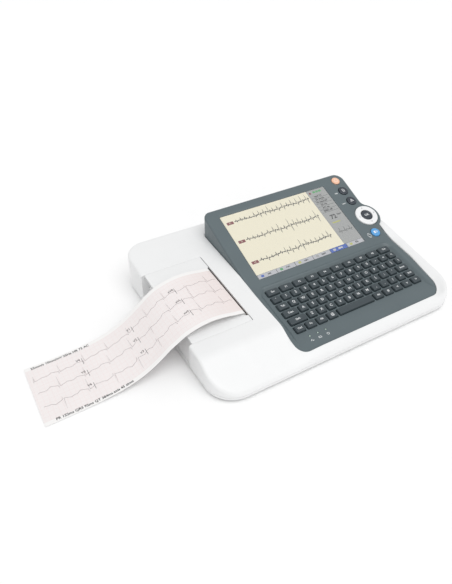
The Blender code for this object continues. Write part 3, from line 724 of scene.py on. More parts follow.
def block_inside():
    """The hollow of the printer block, less the two walls that line the drawer's bay."""
    crease = RAMP_CREASE + WALL / 3
    profile = rounded(
        [
            (FRONT + WALL, -5.0, 0),
            (FRONT + WALL, 8.6, 0),
            (crease, height(PLATEAU, crease, WALL), 20),
            (REAR - WALL, height(PLATEAU, REAR - WALL, WALL), 4),
            (REAR - WALL, -5.0, 0),
        ]
    )
    hollow = shared(prism(profile, LEFT + WALL, BLOCK_RIGHT - WALL, "X"), prism(body_plan(WALL), -10, 90))
    linings = [
        box((LEFT - 1, SEAM_X + 2), (DRAWER_FRONT - 3.0, DRAWER_FRONT), (PARTING, 60.0)),
        box((LEFT - 1, SEAM_X + 2), (DRAWER_REAR, DRAWER_REAR + 3.0), (PARTING, 60.0)),
    ]
    return combine(hollow, linings)


def top_rows():
    """Where the white top is sampled: close together where it bends."""
    ys = spaced(FRONT + 5, -106.0, 1.5) + spaced(-102.0, -50.0, 4.0) + spaced(-46.0, -10.0, 3.0)
    return [(y, 3.6) for y in ys + spaced(-2.0, REAR - 5, 7.0)]


def make_top_shell():
    shell = mound(divided(body_plan(0), 3.0), white_top, PARTING, lambda y: EDGE_RADIUS, top_rows())
    mouth = rectangle(LEFT - 9, SEAM_X + 0.9, DRAWER_FRONT - SEAM, DRAWER_REAR + SEAM, 0.8)
    right_hollow = [(-100.0, -5.0), (-42.0, -5.0), (-42.0, 34.6), (-100.0, 24.2)]
    rear_hollow = box((-93.0, -14.0), (60.8, REAR - WALL), (-5.0, 43.0))
    rear_opening = box((-10.0, 95.0), (50.0, 80.0), (9.5, 36.0))
    socket_opening = box((100.0, 130.0), (15.0, 55.0), (13.4, 30.6))
    wire_way = box((BLOCK_RIGHT - 4, BLOCK_RIGHT + 3), (-100.0, 20.0), (-5.0, 16.0))
    combine(
        shell,
        [
            block_inside(),
            prism(right_hollow, 115.4, RIGHT - WALL, "X"),
            rear_hollow,
            well(divided(console_plan(GAP), 4.0), white_top, -5.0, 0.5),
            disc(NAV, 16.4, -45, 20, "Z", ON_SCREEN),
            wire_way,
            well(divided(mouth, 4.0), plateau, -5.0, 0.15),
            rear_opening,
            socket_opening,
        ],
    )
    place("white_top_shell", shell, WHITE, replaces=["top_shell"])


# Rows of slots through the floor: (left of the first, pitch, width, front, rear, corner radius, count).
POWER_VENT = (66.0, 5.0, 2.5, 0.0, 36.0, 1.2, 7)
SPEAKER_GRILLE = (-86.0, 4.0, 1.8, 22.0, 38.0, 0.85, 5)


def floor_slots(first, pitch, width, front, rear, corner, count):
    lefts = [first + pitch * i for i in range(count)]
    return [prism(rectangle(left, left + width, front, rear, corner), 0.0, 9.0) for left in lefts]


def make_base_shell():
    plan = body_plan(0)
    rings = [[(x, y, FEET + drop) for x, y in grown(plan, -inset)] for inset, drop in reversed(quarter(2.6))]
    top = PARTING - GAP
    rings.append([(x, y, top - 0.3) for x, y in plan])
    rings.append([(x, y, top) for x, y in grown(plan, -0.3)])
    base = loft(rings)
    inside_walls = prism(body_plan(WALL), FLOOR_TOP, 20)
    drawer_way = box((LEFT - 5, LEFT + 8), (DRAWER_FRONT - 0.6, DRAWER_REAR + 0.6), (FLOOR_TOP, 20.0))
    cover_seat = prism(rectangle(-44.0, 44.0, -82.0, -20.0, 2.0), 0.0, 4.0)
    battery_way = prism(rectangle(-42.0, 42.0, -80.0, -22.0, 2.0), 3.5, 9.0)
    cuts = [inside_walls, drawer_way, cover_seat, battery_way]
    for node in ("foot_front_left", "foot_front_right", "foot_rear_left", "foot_rear_right"):
        cuts.append(disc(middle(node), 7.4, 0.0, 3.3))
    for number in range(1, 5):
        screw = middle(f"case_screw_{number}")
        cuts.append(disc(screw, 3.6, 0.0, 3.7, segments=32))
        cuts.append(disc(screw, 1.9, 3.0, 9.0, segments=24))
    cuts += floor_slots(*POWER_VENT) + floor_slots(*SPEAKER_GRILLE)
    combine(base, cuts)
    place("white_base_shell", base, WHITE, replaces=["base_shell"])


def middle(node):
    """Plan position of a CAD node's middle, in the drawing's millimetres."""
    low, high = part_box(node)
    centre = (low + high) / 2 / MM - SHIFT
    return centre.x, centre.y


def below_plateau(drop, bottom):
    """The space under the plateau over the drawer, from bottom up to drop below it."""
    front, rear = -130.0, 30.0
    profile = [(front, bottom), (rear, bottom), (rear, height(PLATEAU, rear, drop))]
    return prism(profile + [(front, height(PLATEAU, front, drop))], -200, -100, "X")


def drawer_cover():
    plan = [
        (-188.0, DRAWER_FRONT, 0.8), (SEAM_X, DRAWER_FRONT, 0.8), (SEAM_X, -88.5, 0), (SLOT_X, -87.5, 0),
        (SLOT_X, -5.5, 0), (SEAM_X, -2.0, 0), (SEAM_X, DRAWER_REAR, 0.8), (-188.0, DRAWER_REAR, 0.8),
    ]
    outline = divided(rounded(plan, 4), 6.0)
    cover = mound(outline, plateau, 5.0, lambda y: 0.2, [(-40.0, 20.0)], 3)
    return combine(cover, [below_plateau(2.4, 0.0)])


def drawer_end():
    """The end wall, hollowed so that fingers can pull on it."""
    scoop = [(-190.2, 5.4)]
    for step in range(13):
        t = step / 12
        scoop.append((-189.9 + 9.6 * math.sin(math.pi / 2 * t) ** 1.5 - 2.6 * t ** 5, 6.2 + t * 32.0))
    back = [(x + 2.6, z) for x, z in reversed(scoop)]
    end = prism(scoop + back, DRAWER_FRONT, DRAWER_REAR, "Y")
    return shared(end, below_plateau(1.0, 4.0))


def make_drawer():
    """Top cover flush with the plateau, end wall, and the side walls that carry the roll."""
    low = 8.35
    front_wall = [
        (-184.0, low), (-60.0, low), (-60.0, 14.0), (SEAM_X - 3, 14.0), (SEAM_X - 3, 33.5), (-180.0, 33.5),
    ]
    rear_wall = [(x, z if z < 20 else 39.5) for x, z in front_wall]
    rib = [(-172.0, low), (-123.0, low), (-123.0, 39.5), (-172.0, 39.5)]
    tray = rectangle(-184.0, -170.0, low, low + 2.0)
    walls = ((front_wall, -95.0, -92.8), (rear_wall, 13.4, 15.6), (rib, -3.2, -1.2), (tray, -94.0, 14.0))
    drawer = drawer_cover()
    join(drawer, drawer_end(), *[soften(prism(wall, near, far, "Y"), 0.4) for wall, near, far in walls])
    spindles = ((PLATEN, 1.85), (ROLL, 2.35))
    combine(drawer, [disc(centre, radius, -97, 0, "Y", segments=32) for centre, radius in spindles])
    place("white_drawer", drawer, WHITE, "drawer", ["paper_drawer"], weighted=False)


# ---------------------------------------------------------------- console


ROWS = {
    "key_row_1": ("Esc F1 F2 F3 F4 F5 F6 F7 F8 Del", [1.4] * 10),
    "key_row_2": ("` 1 2 3 4 5 6 7 8 9 0 - = <", [1.0] * 14),
    "key_row_3": ("Tab Q W E R T Y U I O P [ ] \\", [1.2] + [1.0] * 12 + [0.8]),
    "key_row_4": ("Caps A S D F G H J K L ; ' Enter", [1.6] + [1.0] * 11 + [1.4]),
    "key_row_5": ("Shift Z X C V B N M , . / ^ Shift", [1.9] + [1.0] * 11 + [1.1]),
}
LAST_ROW = {
    "key_row_6_left": ("Ctrl Fn Alt @", -79.6, -24.7),
    "space_bar": ("_", -22.4, 26.7),
    "key_row_6_right": ("Alt # < v >", 29.0, 98.7),
}
CONTROLS = {
    "power_button": (99.3, 49.6, 5.6, CONTROL_ORANGE, "orange_button"),
    "function_button_upper": (99.1, 31.4, 6.3, CONTROL_BLACK, "black_plastic"),
    "function_button_lower": (99.7, 13.2, 6.3, CONTROL_BLACK, "black_plastic"),
    "print_button": (98.5, -41.4, 6.0, CONTROL_BLUE, "blue_button"),
}


def key_spans(left, right, widths):
    """The left and right edge of each key cap in a row, from their relative widths."""
    share = (right - left + KEY_GAP) / sum(widths)
    spans = []
    edge = left
    for width in widths:
        spans.append((edge, edge + width * share - KEY_GAP))
        edge += width * share
    return spans


def rows():
    """Name, place, key caps and legends of each row."""
    found = []
    for number, (name, (legends, widths)) in enumerate(ROWS.items()):
        spans = key_spans(KEYS_LEFT, KEYS_RIGHT, widths)
        found.append((name, FIRST_ROW - ROW_PITCH * number, spans, legends.split()))
    for name, (legends, left, right) in LAST_ROW.items():
        words = legends.split()
        found.append((name, FIRST_ROW - ROW_PITCH * 5, key_spans(left, right, [1.0] * len(words)), words))
    return found


def cluster(solids):
    """Solids that don't touch, as one object, so that one Boolean cuts them all."""
    first, *rest = solids
    bm = bmesh.new()
    for obj in solids:
        bm.from_mesh(obj.data)
    bm.to_mesh(first.data)
    bm.free()
    for obj in rest:
        bpy.data.objects.remove(obj, do_unlink=True)
    return first


def basin_floor(d):
    """Depth of the key basin below the deck: level under the keys, then up to nothing in front of them."""
    return -BASIN + (BASIN + 0.06) * smoothstep(-68.0, -90.0, d)


def on_basin(x, d, lift):
    return x, d, basin_floor(d) + lift


def basin():
    """The cutter for the key basin, whose walls run down in a soft S."""
    outline = divided(rectangle(-86.2, 102.2, -104.0, -1.6, 8.0, 8), 6.0)
    rings = []
    for step in range(13):
        t = step / 12
        depth = -BASIN - 0.3 + (BASIN + 0.36) * smoothstep(0.0, 1.0, t)
        rings.append([(x, d, depth) for x, d in grown(outline, 6.4 * t - 3.2)])
    rings.append([(x, d, 12.0) for x, d in grown(outline, 3.22)])
    walls = loft(rings, ON_DECK)
    ds = spaced(-66.0, -92.0, 1.5)
    floor = [(5.0, -BASIN)] + [(d, basin_floor(d)) for d in ds] + [(-92.0, 20.0), (5.0, 20.0)]
    return shared(walls, prism(floor, -140, 140, "X", ON_DECK))


def console_edge(y):
    """Rounding of the console's edge: slight along the deck, full round the screen."""
    return 0.8 + 1.7 * smoothstep(-75.0, -45.0, y)


def console_inside():
    """The hollow under the cover."""
    under_deck = BASIN + COVER
    front, bend, rear = -146.0, -57.0, 56.0
    profile = [
        (front, -10.0), (rear, -10.0), (rear, height(SCREEN, rear, COVER)), (bend, height(SCREEN, bend, COVER)),
        (bend, height(DECK, bend, under_deck)), (front, height(DECK, front, under_deck)),
    ]
    return shared(prism(console_plan(-COVER), -20, 90), prism(profile, -120, 140, "X"))


def bulge_trim():
    """What to take away below the disc's bulge, outside the console's foot."""
    z, front, rear = 42.0, -45.0, 20.0
    slope = PLATEAU[1]
    profile = [(front, -20.0), (rear, -20.0), (rear, z + rear * slope), (front, z + front * slope)]
    return combine(prism(profile, 95.0, 130.0, "X"), [prism(console_plan(0.0), -30.0, 90.0)])


def control_holes():
    places = [((x, d), radius) for x, d, radius, _, _ in CONTROLS.values()]
    holes = [well(circle(place_at, radius + GAP), flat, -8.0, 0.5, ON_SCREEN) for place_at, radius in places]
    return holes + [well(circle(NAV, NAV_RADIUS + 0.5, 64), flat, -18.0, 0.6, ON_SCREEN)]


def key_holes():
    """A hole for each key cap, and one for each lamp."""
    holes = []
    half = KEY_DEPTH / 2 + GAP
    for _, d, spans, _ in rows():
        for left, right in spans:
            outline = rectangle(left - GAP, right + GAP, d - half, d + half, 1.3, 3)
            holes.append(well(outline, lambda x, y: -BASIN, -9.0, 0.2, ON_DECK, 1.6))
    return holes + [disc((x, LED_D), 1.3, -9, 0, "Z", ON_DECK, 24) for x in LEDS]


def make_console():
    ys = spaced(-145.0, -65.0, 20.0) + spaced(-61.0, -50.0, 0.8) + spaced(-40.0, 50.0, 18.0)
    outline = divided(console_outline(), 3.0)
    cover = mound(outline, console_top, 6.0, console_edge, [(y, 6.0) for y in ys], 6)
    underside = [(-160.0, -20.0), (70.0, -20.0), (70.0, 37.3), (-56.0, 21.0), (-152.0, 8.0), (-160.0, 7.0)]
    half_x, half_d = SCREEN_HALF[0] + 0.4, SCREEN_HALF[1] + 0.4
    picture = well(rectangle(-half_x, half_x, -half_d, half_d, 0.8), flat, -3.0, 0.7, ON_SCREEN)
    combine(cover, [prism(underside, -140, 140, "X"), bulge_trim(), console_inside(), basin(), picture])
    window_seat = box((-80.8, 80.8), (-51.0, 51.0), (-5.0, -1.0), ON_SCREEN)
    combine(cover, [window_seat, cluster(control_holes()), cluster(key_holes())])
    place("grey_console_cover", cover, GREY, replaces=["console_cover"])


def cap_rings(left, right, low, high, levels, radius):
    """Rings of a rounded rectangle that shrinks from level to level, as (inset, height)."""
    rings = []
    for inset, z in levels:
        corner = max(0.3, radius - inset * 0.4)
        outline = rectangle(left + inset, right - inset, low + inset, high - inset, corner, 4)
        rings.append([(u, v, z) for u, v in outline])
    return rings


def paint(faces, index):
    for face in faces:
        face.material_index = index


def add_rings(bm, rings, index=0):
    """Skins rings of points, with a cap at each end, and gives the faces a material."""
    made = ring_verts(bm, rings)
    caps = [bm.faces.new(made[0][::-1]), bm.faces.new(made[-1])]
    paint(caps + skin(bm, made), index)


def add_slab(bm, left, right, low, high, bottom, top, index, radius=0.3):
    """A thin plate with rounded corners."""
    add_rings(bm, cap_rings(left, right, low, high, [(0.0, bottom), (0.0, top)], radius), index)


def add_text(bm, text, size, at, z, index, where=None, thick=0.03, weight=0.012):
    """Raised print: the text's outlines, centred on a point. where bends it to a surface."""
    curve = bpy.data.curves.new("print", "FONT")
    curve.body = text
    curve.size = size
    curve.align_x = "CENTER"
    curve.align_y = "CENTER"
    curve.resolution_u = 2
    curve.offset = size * weight
    curve.extrude = thick / 2
    obj = bpy.data.objects.new("print", curve)
    bpy.context.scene.collection.objects.link(obj)
    bpy.context.view_layer.update()
    mesh = bpy.data.meshes.new_from_object(obj.evaluated_get(bpy.context.evaluated_depsgraph_get()))
    bpy.data.objects.remove(obj, do_unlink=True)
    part = bmesh.new()
    part.from_mesh(mesh)
    bmesh.ops.remove_doubles(part, verts=part.verts, dist=0.0005)
    for vert in part.verts:
        point = (vert.co.x + at[0], vert.co.y + at[1], vert.co.z + z + thick / 2)
        vert.co = where(*point) if where else point
    paint(part.faces, index)
    part.to_mesh(mesh)
    part.free()
    bm.from_mesh(mesh)
    bpy.data.meshes.remove(mesh)


def add_stroke(bm, points, width, low, high, index, where=None, closed=False):
    """A printed line along points (u, v), from low to high. where bends it to a surface."""
    count = len(points)
    sides = []
    for i, point in enumerate(points):
        here = Vector(point)
        before = Vector(points[i - 1]) if closed or i else here
        after = Vector(points[(i + 1) % count]) if closed or i < count - 1 else here
        into = (here - before).normalized() if before != here else (after - here).normalized()
        out = (after - here).normalized() if after != here else into
        normal = Vector((-into.y - out.y, into.x + out.x))
        normal = normal.normalized() if normal.length > 0.05 else Vector((-into.y, into.x))
        reach = width / 2 / max(0.45, normal.dot(Vector((-into.y, into.x))))
        sides.append((here + normal * reach, here - normal * reach))
    rings = []
    for one, other in sides:
        corners = [(*one, low), (*other, low), (*other, high), (*one, high)]
        rings.append([where(*c) if where else c for c in corners])
    made = ring_verts(bm, rings)
    ends = [] if closed else [bm.faces.new(made[0][::-1]), bm.faces.new(made[-1])]
    paint(ends + skin(bm, made, closed), index)


def drawn(bm, matrix=None):
    """The object for a mesh made of several bodies, whose faces point out."""
    bmesh.ops.recalc_face_normals(bm, faces=bm.faces)
    return solid(bm, matrix)


# A key cap from its foot to the middle of its dished top, as (inset, height).
KEY_LEVELS = [
    (0.0, -5.0), (0.0, -1.7), (0.22, -0.8), (0.5, -0.25), (0.8, 0.05),
    (1.15, CAP_TOP), (1.6, CAP_TOP - 0.06), (2.3, CAP_TOP - 0.2), (3.2, CAP_TOP - 0.26),
]


def make_keys():
    for name, d, spans, legends in rows():
        bm = bmesh.new()
        low, high = d - KEY_DEPTH / 2, d + KEY_DEPTH / 2
        for (left, right), legend in zip(spans, legends):
            add_rings(bm, cap_rings(left, right, low, high, KEY_LEVELS, 1.7))
            if legend != "_":
                size = 4.5 if len(legend) == 1 else 3.3
                add_text(bm, legend, size, ((left + right) / 2, d), CAP_TOP - 0.24, 1, thick=0.14)
        ends = spans[0][0] + 1.0, spans[-1][1] - 1.0
        add_slab(bm, *ends, d - 3.4, d + 3.4, -5.25, -4.95, 0, 1.0)
        piece = name.replace("key_row", "key_caps_row").replace("space_bar", "space_bar_cap")
        place(piece, drawn(bm, ON_DECK), [KEY, LEGEND], name, [name], 40.0, False)


def make_controls():
    for name, (x, d, radius, look, slot) in CONTROLS.items():
        flange = radius + 1.0
        crown = [(1.2 - drop, radius - inset) for inset, drop in quarter(1.0)]
        profile = [(-3.7, flange), (-2.75, flange), (-2.7, radius), *crown, (1.12, radius * 0.6), (1.06, 0.05)]
        button = turned(profile, (x, d), "Z", ON_SCREEN)
        bm = bmesh.new()
        bm.from_mesh(button.data)
        marks = bmesh.new()
        CONTROL_MARKS[name](marks, x, d)
        mark = solid(marks, ON_SCREEN)
        paint(mark.data.polygons, 1)
        bm.from_mesh(mark.data)
        bpy.data.objects.remove(mark, do_unlink=True)
        bm.to_mesh(button.data)
        bm.free()
        marked = DISC_WHITE if name != "power_button" else POWER_MARK
        place(name + "_cap", button, [look, marked], name, [name], 40.0, False)


def mark_power(bm, x, d):
    turns = [math.radians(130 + 280 * t / 16) for t in range(17)]
    arc = [(x + 2.3 * math.cos(a), d + 2.3 * math.sin(a)) for a in turns]
    add_stroke(bm, arc, 0.55, MARK_LOW, MARK_HIGH, 0)
    add_stroke(bm, [(x, d + 0.5), (x, d + 3.0)], 0.55, MARK_LOW, MARK_HIGH, 0)


def mark_page(bm, x, d):
    page = [(x - 1.5, d - 2.1), (x + 1.5, d - 2.1), (x + 1.5, d + 1.2), (x + 0.5, d + 2.2), (x - 1.5, d + 2.2)]
    add_stroke(bm, page, 0.4, MARK_LOW, MARK_HIGH, 0, closed=True)
    for up in (-0.9, 0.1):
        add_stroke(bm, [(x - 0.8, d + up), (x + 0.8, d + up)], 0.35, MARK_LOW, MARK_HIGH, 0)


def mark_alarm(bm, x, d):
    sign = [(x - 2.2, d - 1.5), (x + 2.2, d - 1.5), (x, d + 2.1)]
    add_stroke(bm, sign, 0.5, MARK_LOW, MARK_HIGH, 0, closed=True)
    add_stroke(bm, [(x, d - 0.7), (x, d + 0.7)], 0.45, MARK_LOW, MARK_HIGH, 0)


def mark_print(bm, x, d):
    add_slab(bm, x - 2.6, x - 0.2, d - 1.6, d + 1.9, MARK_LOW, MARK_HIGH, 0, 0.4)
    add_stroke(bm, [(x + 0.8, d + 1.6), (x + 2.6, d + 0.1), (x + 0.8, d - 1.4)], 0.7, MARK_LOW, MARK_HIGH, 0)


CONTROL_MARKS = {
    "power_button": mark_power,
    "function_button_upper": mark_page,
    "function_button_lower": mark_alarm,
    "print_button": mark_print,
}


def make_rocker_disc():
    """The white ring that rocks four ways, its small arrows, and the dark button in the middle."""
    crown = [(1.35 - drop, NAV_RADIUS - inset) for inset, drop in quarter(1.5)]
    lip = [(1.35 - drop, 8.0 + inset) for inset, drop in reversed(quarter(0.5))]
    ring = turned([(-3.3, NAV_RADIUS), *crown, (1.5, 11.4), *lip, (-3.3, 8.0)], NAV, "Z", ON_SCREEN, 72, True)
    bm = bmesh.new()
    for turn in range(4):
        angle = math.pi / 2 * turn
        out, side = Vector((math.cos(angle), math.sin(angle))), Vector((-math.sin(angle), math.cos(angle)))
        centre = Vector(NAV) + out * 11.1
        arrow = [centre - out * 0.7 + side * 1.15, centre + out * 0.7, centre - out * 0.7 - side * 1.15]
        add_stroke(bm, [tuple(p) for p in arrow], 0.42, 1.3, 1.56, 0)
    arrows = drawn(bm, ON_SCREEN)
    place("rocker_ring", ring, DISC_WHITE, "nav_ring", ["nav_ring"])
    place("rocker_arrows", arrows, DARK_MARK, "nav_ring", weighted=False)
    crown = [(1.0 - drop, 7.4 - inset) for inset, drop in quarter(0.9)]
    button = turned([(-4.6, 7.4), *crown, (1.15, 3.5), (1.2, 0.05)], NAV, "Z", ON_SCREEN)
    place("rocker_button", button, CONTROL_BLACK, "nav_ok_button", ["nav_ok_button"])
    bm = bmesh.new()
    add_text(bm, "OK", 4.6, NAV, 1.1, 0, thick=0.16)
    letters = drawn(bm, ON_SCREEN)
    place("rocker_button_print", letters, LEGEND, "nav_ok_button", weighted=False)


def make_leds():
    """Three lens tips on one light pipe, just proud of the deck."""
    pipe = soften(box((LEDS[0] - 2.5, LEDS[2] + 2.5), (LED_D - 2.0, LED_D + 2.0), (-6.4, -5.2), ON_DECK), 0.3)
    top = basin_floor(LED_D) + 0.25
    for x in LEDS:
        profile = [(-5.6, 1.0), (top - 0.6, 1.0), (top - 0.25, 0.85), (top - 0.05, 0.5), (top, 0.05)]
        join(pipe, turned(profile, (x, LED_D), "Z", ON_DECK, 24))
    place("led_lenses", pipe, LENS_GREEN, replaces=["led_light_pipe"])


def make_printed_marks():
    """Small pale marks beside the controls."""
    bm = bmesh.new()
    low, high, line = -0.02, 0.08, 0.35
    for button, words in (("function_button_upper", "page"), ("function_button_lower", "alarm")):
        d = CONTROLS[button][1] - 0.6
        add_text(bm, words, 2.6, (87.2, d), low, 0, thick=0.1, weight=0.02)
    add_stroke(bm, rectangle(85.8, 90.2, -44.2, -41.6, 0.3), line, low, high, 0, closed=True)
    for near, far in ((-41.5, -39.6), (-44.3, -46.0)):
        add_stroke(bm, [(86.8, near), (86.8, far), (89.2, far), (89.2, near)], line, low, high, 0)
    place("console_marks", drawn(bm, ON_SCREEN), LEGEND, weighted=False)


def make_lamp_marks():
    """A wave, a battery and a ring below the three lamps."""
    bm = bmesh.new()
    d = LED_D - 6.3
    wave, battery, ring = [x - 1.6 for x in LEDS]
    signs = [
        ([(wave - 1.9, d), (wave - 0.6, d), (wave, d + 1.3), (wave + 0.8, d - 1.3), (wave + 1.9, d)], False),
        (rectangle(battery - 1.7, battery + 1.4, d - 0.9, d + 0.9), True),
        (circle((ring, d), 1.3, 16), True),
    ]
    for points, closed in signs:
        add_stroke(bm, points, 0.5, -0.1, 0.12, 0, on_basin, closed)
    place("lamp_marks", drawn(bm, ON_DECK), LEGEND, weighted=False)


# ---------------------------------------------------------------- screen


PICTURE_TOP = -0.75
PICTURE_BASE, PICTURE_FACE = PICTURE_TOP - 0.1, PICTURE_TOP + 0.05
TAB_TOP = -41.6
PANEL_LEFT = 49.2
BASELINES = (35.5, 6.7, -24.8)
SETTINGS = ("lead 12", "25 mm/s", "10 mm/mV", "35 Hz", "AC on", "EMG off")
TABS = (("set", BLUE), ("run", GREEN), ("gain", YELLOW), ("lead", PANEL), ("save", TAB), ("file", YELLOW))
CHOSEN_TAB = 4


def heartbeat(dip, narrow=0.1):
    """One beat as (share of its length, height): a small wave, the spike and the dip after it, a wider wave."""
    spike = [(0.42 - narrow, -0.1), (0.42, 1.0), (0.42 + narrow, -dip), (0.42 + 2 * narrow, 0.0)]
    return [(0.0, 0.0), (0.12, 0.1), (0.24, 0.0)] + spike + [(0.74, 0.2), (0.88, 0.0)]


def step_rings(half_x, half_d, levels):
    """Rings of a plate with steps in its edge, as (inset, height)."""
    rings = []
    for inset, z in levels:
        inset_d = min(inset, 4.3)
        outline = rectangle(inset - half_x, half_x - inset, inset_d - half_d, half_d - inset_d, 0.6, 4)
        rings.append([(u, v, z) for u, v in outline])
    return rings


def make_window():
    """The clear hard-coated sheet over the picture."""
    half_x, half_d = SCREEN_HALF[0] + 0.3, SCREEN_HALF[1] + 0.3
    window = loft(step_rings(half_x, half_d, [(0.0, -0.55), (0.0, -0.3), (0.12, -0.18)]), ON_SCREEN)
    place("screen_window", window, GLASS, replaces=["display_window"], weighted=False)


def add_patch(bm, left, right, low, high, look, radius=0.5, rise=0.05):
    """A patch of one colour on the picture."""
    add_slab(bm, left, right, low, high, PICTURE_FACE - 0.02, PICTURE_FACE + rise, look, radius)


def add_line(bm, points, width, look, rise=0.05):
    add_stroke(bm, points, width, PICTURE_FACE - 0.02, PICTURE_FACE + rise, look)


def add_words(bm, words, size, at, look=TEXT, weight=0.03, lift=0.0):
    add_text(bm, words, size, at, PICTURE_FACE + lift, look, thick=0.05, weight=weight)


def picture_traces(bm):
    """Three rows of beats, each with the red tag of its lead."""
    chance = random.Random(7)
    for row, baseline in enumerate(BASELINES):
        add_patch(bm, -73.5, -64.5, baseline - 2.1, baseline + 1.9, RED, 0.2, 0.06)
        add_words(bm, ("V1", "II", "V5")[row], 2.4, (-69.0, baseline - 0.1), CREAM, 0.012, 0.05)
        points = []
        x = -63.0
        while x < PANEL_LEFT - 7.5:
            beat = 5.8 + chance.random() * 2.8
            size = (4.0 + 7.5 * chance.random()) * (0.35 + 0.65 * smoothstep(-60.0, 5.0, x))
            wander = 0.6 * math.sin(x * 0.19 + row)
            for share, rise in heartbeat(0.2 + 0.7 * chance.random(), 0.12):
                points.append((x + beat * share, baseline + wander + size * rise))
            x += beat
        add_line(bm, points, 0.95, TRACE)


def picture_tabs(bm):
    """The row of tabs along the bottom, each with an icon and a word."""
    left, low = -SCREEN_HALF[0], -SCREEN_HALF[1]
    width = (SCREEN_HALF[0] - left) / 6
    middle_d = (low + TAB_TOP) / 2
    for number, (word, icon) in enumerate(TABS):
        start = left + width * number
        back, ink = (BLUE, CREAM) if number == CHOSEN_TAB else (TAB, TEXT)
        end = start + width - 0.35
        add_slab(bm, start + 0.35, end, low, TAB_TOP - 0.15, PICTURE_BASE, PICTURE_FACE, back, 0.3)
        add_patch(bm, start + 4.5, start + 8.3, middle_d - 1.5, middle_d + 1.5, icon)
        add_words(bm, word, 3.8, (start + 15.5, middle_d + 0.3), ink)


def picture_panel(bm):
    """The side panel: small signs, the settings, and the heart rate over a few beats."""
    right, high = SCREEN_HALF
    add_patch(bm, PANEL_LEFT + 2.5, PANEL_LEFT + 5.5, high - 6.0, high - 3.4, RED, 0.6)
    for number in range(3):
        start = PANEL_LEFT + 8.5 + 4.6 * number
        add_patch(bm, start, start + 3.6, high - 5.6, high - 2.6, GREEN)
    for number, words in enumerate(SETTINGS):
        d = high - 11.0 - 5.0 * number
        add_words(bm, words, 3.9, (PANEL_LEFT + 12.0, d), TEXT, 0.035)
        add_line(bm, [(PANEL_LEFT + 1.5, d - 2.5), (right - 1.5, d - 2.5)], 0.35, TEXT, 0.03)
    add_words(bm, "72", 9.0, (PANEL_LEFT + 12.0, -0.5))
    add_words(bm, "bpm", 3.6, (PANEL_LEFT + 22.0, 1.6))
    add_patch(bm, PANEL_LEFT + 5.0, PANEL_LEFT + 17.0, -9.6, -7.8, YELLOW, 0.3)
    points = []
    for beat in range(3):
        for share, rise in heartbeat(0.4):
            points.append((PANEL_LEFT + 4.0 + 7.5 * (beat + share), -24.0 + 6.0 * rise))
    add_line(bm, points, 0.6, TEXT)


def make_picture():
    """The display's body, with the picture in thin coloured layers on its face."""
    bm = bmesh.new()
    steps = [(0.4, -8.5), (0.0, -8.1), (0.0, -3.3), (0.4, -2.9), (5.75, -2.9), (5.75, PICTURE_TOP)]
    add_rings(bm, step_rings(83.0, 52.0, steps))
    half_x, half_d = SCREEN_HALF
    for left, right, look in ((-half_x, PANEL_LEFT - 0.15, CREAM), (PANEL_LEFT, half_x, PANEL)):
        add_slab(bm, left, right, TAB_TOP + 0.15, half_d, PICTURE_BASE, PICTURE_FACE, look, 0.05)
    picture_traces(bm)
    picture_tabs(bm)
    picture_panel(bm)
    picture = drawn(bm, ON_SCREEN)
    place("screen_picture", picture, PICTURE_LOOKS, replaces=["lcd_panel"], weighted=False)


# ---------------------------------------------------------------- paper


LIP_ROUTE = [
    (-120.75, 30.0), (-120.8, 36.0), (-121.6, 39.6), (-125.5, 41.2), (-134.0, 42.8), (-147.0, 45.6),
    (-161.0, 46.8), (-176.0, 45.2), (-191.0, 40.6), (-206.0, 31.2), (-220.0, 21.0), (-236.0, 11.8),
    (-256.0, 5.2), (-281.0, 1.7), (-308.0, 0.7), (PAPER_END, 0.7),
]
SLOT_AT = -120.8
FLAT_FROM = -260.0  # beyond this the strip doesn't lean with the slot


def smooth_route(points, step):
    """A smooth curve through the points, with a point about every step."""
    ends = [Vector(points[0]) * 2 - Vector(points[1]), Vector(points[-1]) * 2 - Vector(points[-2])]
    knots = [ends[0], *[Vector(p) for p in points], ends[1]]
    route = []
    for a, b, c, d in zip(knots, knots[1:], knots[2:], knots[3:]):
        count = max(1, round((c - b).length / step))
        for i in range(count):
            t = i / count
            square, cube = 2 * a - 5 * b + 4 * c - d, 3 * b - a - 3 * c + d
            route.append(0.5 * (2 * b + (c - a) * t + square * t**2 + cube * t**3))
    route.append(knots[-2])
    return route


def paper_route():
    """Middle line of the paper in xz: off the roll's top, round the platen, out of the slot and down."""
    round_roll = ROLL_RADIUS + 0.7
    round_platen = PLATEN_RADIUS + 0.45
    link = Vector(PLATEN) - Vector(ROLL)
    heading = math.atan2(link.y, link.x) - math.asin((round_roll + round_platen) / link.length)
    left_of = Vector((-math.sin(heading), math.cos(heading)))
    route = [Vector(ROLL) + left_of * round_roll]
    first = heading - math.pi / 2
    for i in range(9):
        angle = first * (1 - i / 8)
        route.append(Vector(PLATEN) + Vector((math.cos(angle), math.sin(angle))) * round_platen)
    return route + smooth_route(LIP_ROUTE, 2.0)


ROUTE = paper_route()
AT = [0.0]
for one, other in zip(ROUTE, ROUTE[1:]):
    AT.append(AT[-1] + (other - one).length)
SLOT_S = next(s for s, point in zip(AT, ROUTE) if point.x < SLOT_AT - 0.5 and point.y > 38)
PAPER_LENGTH = AT[-1]


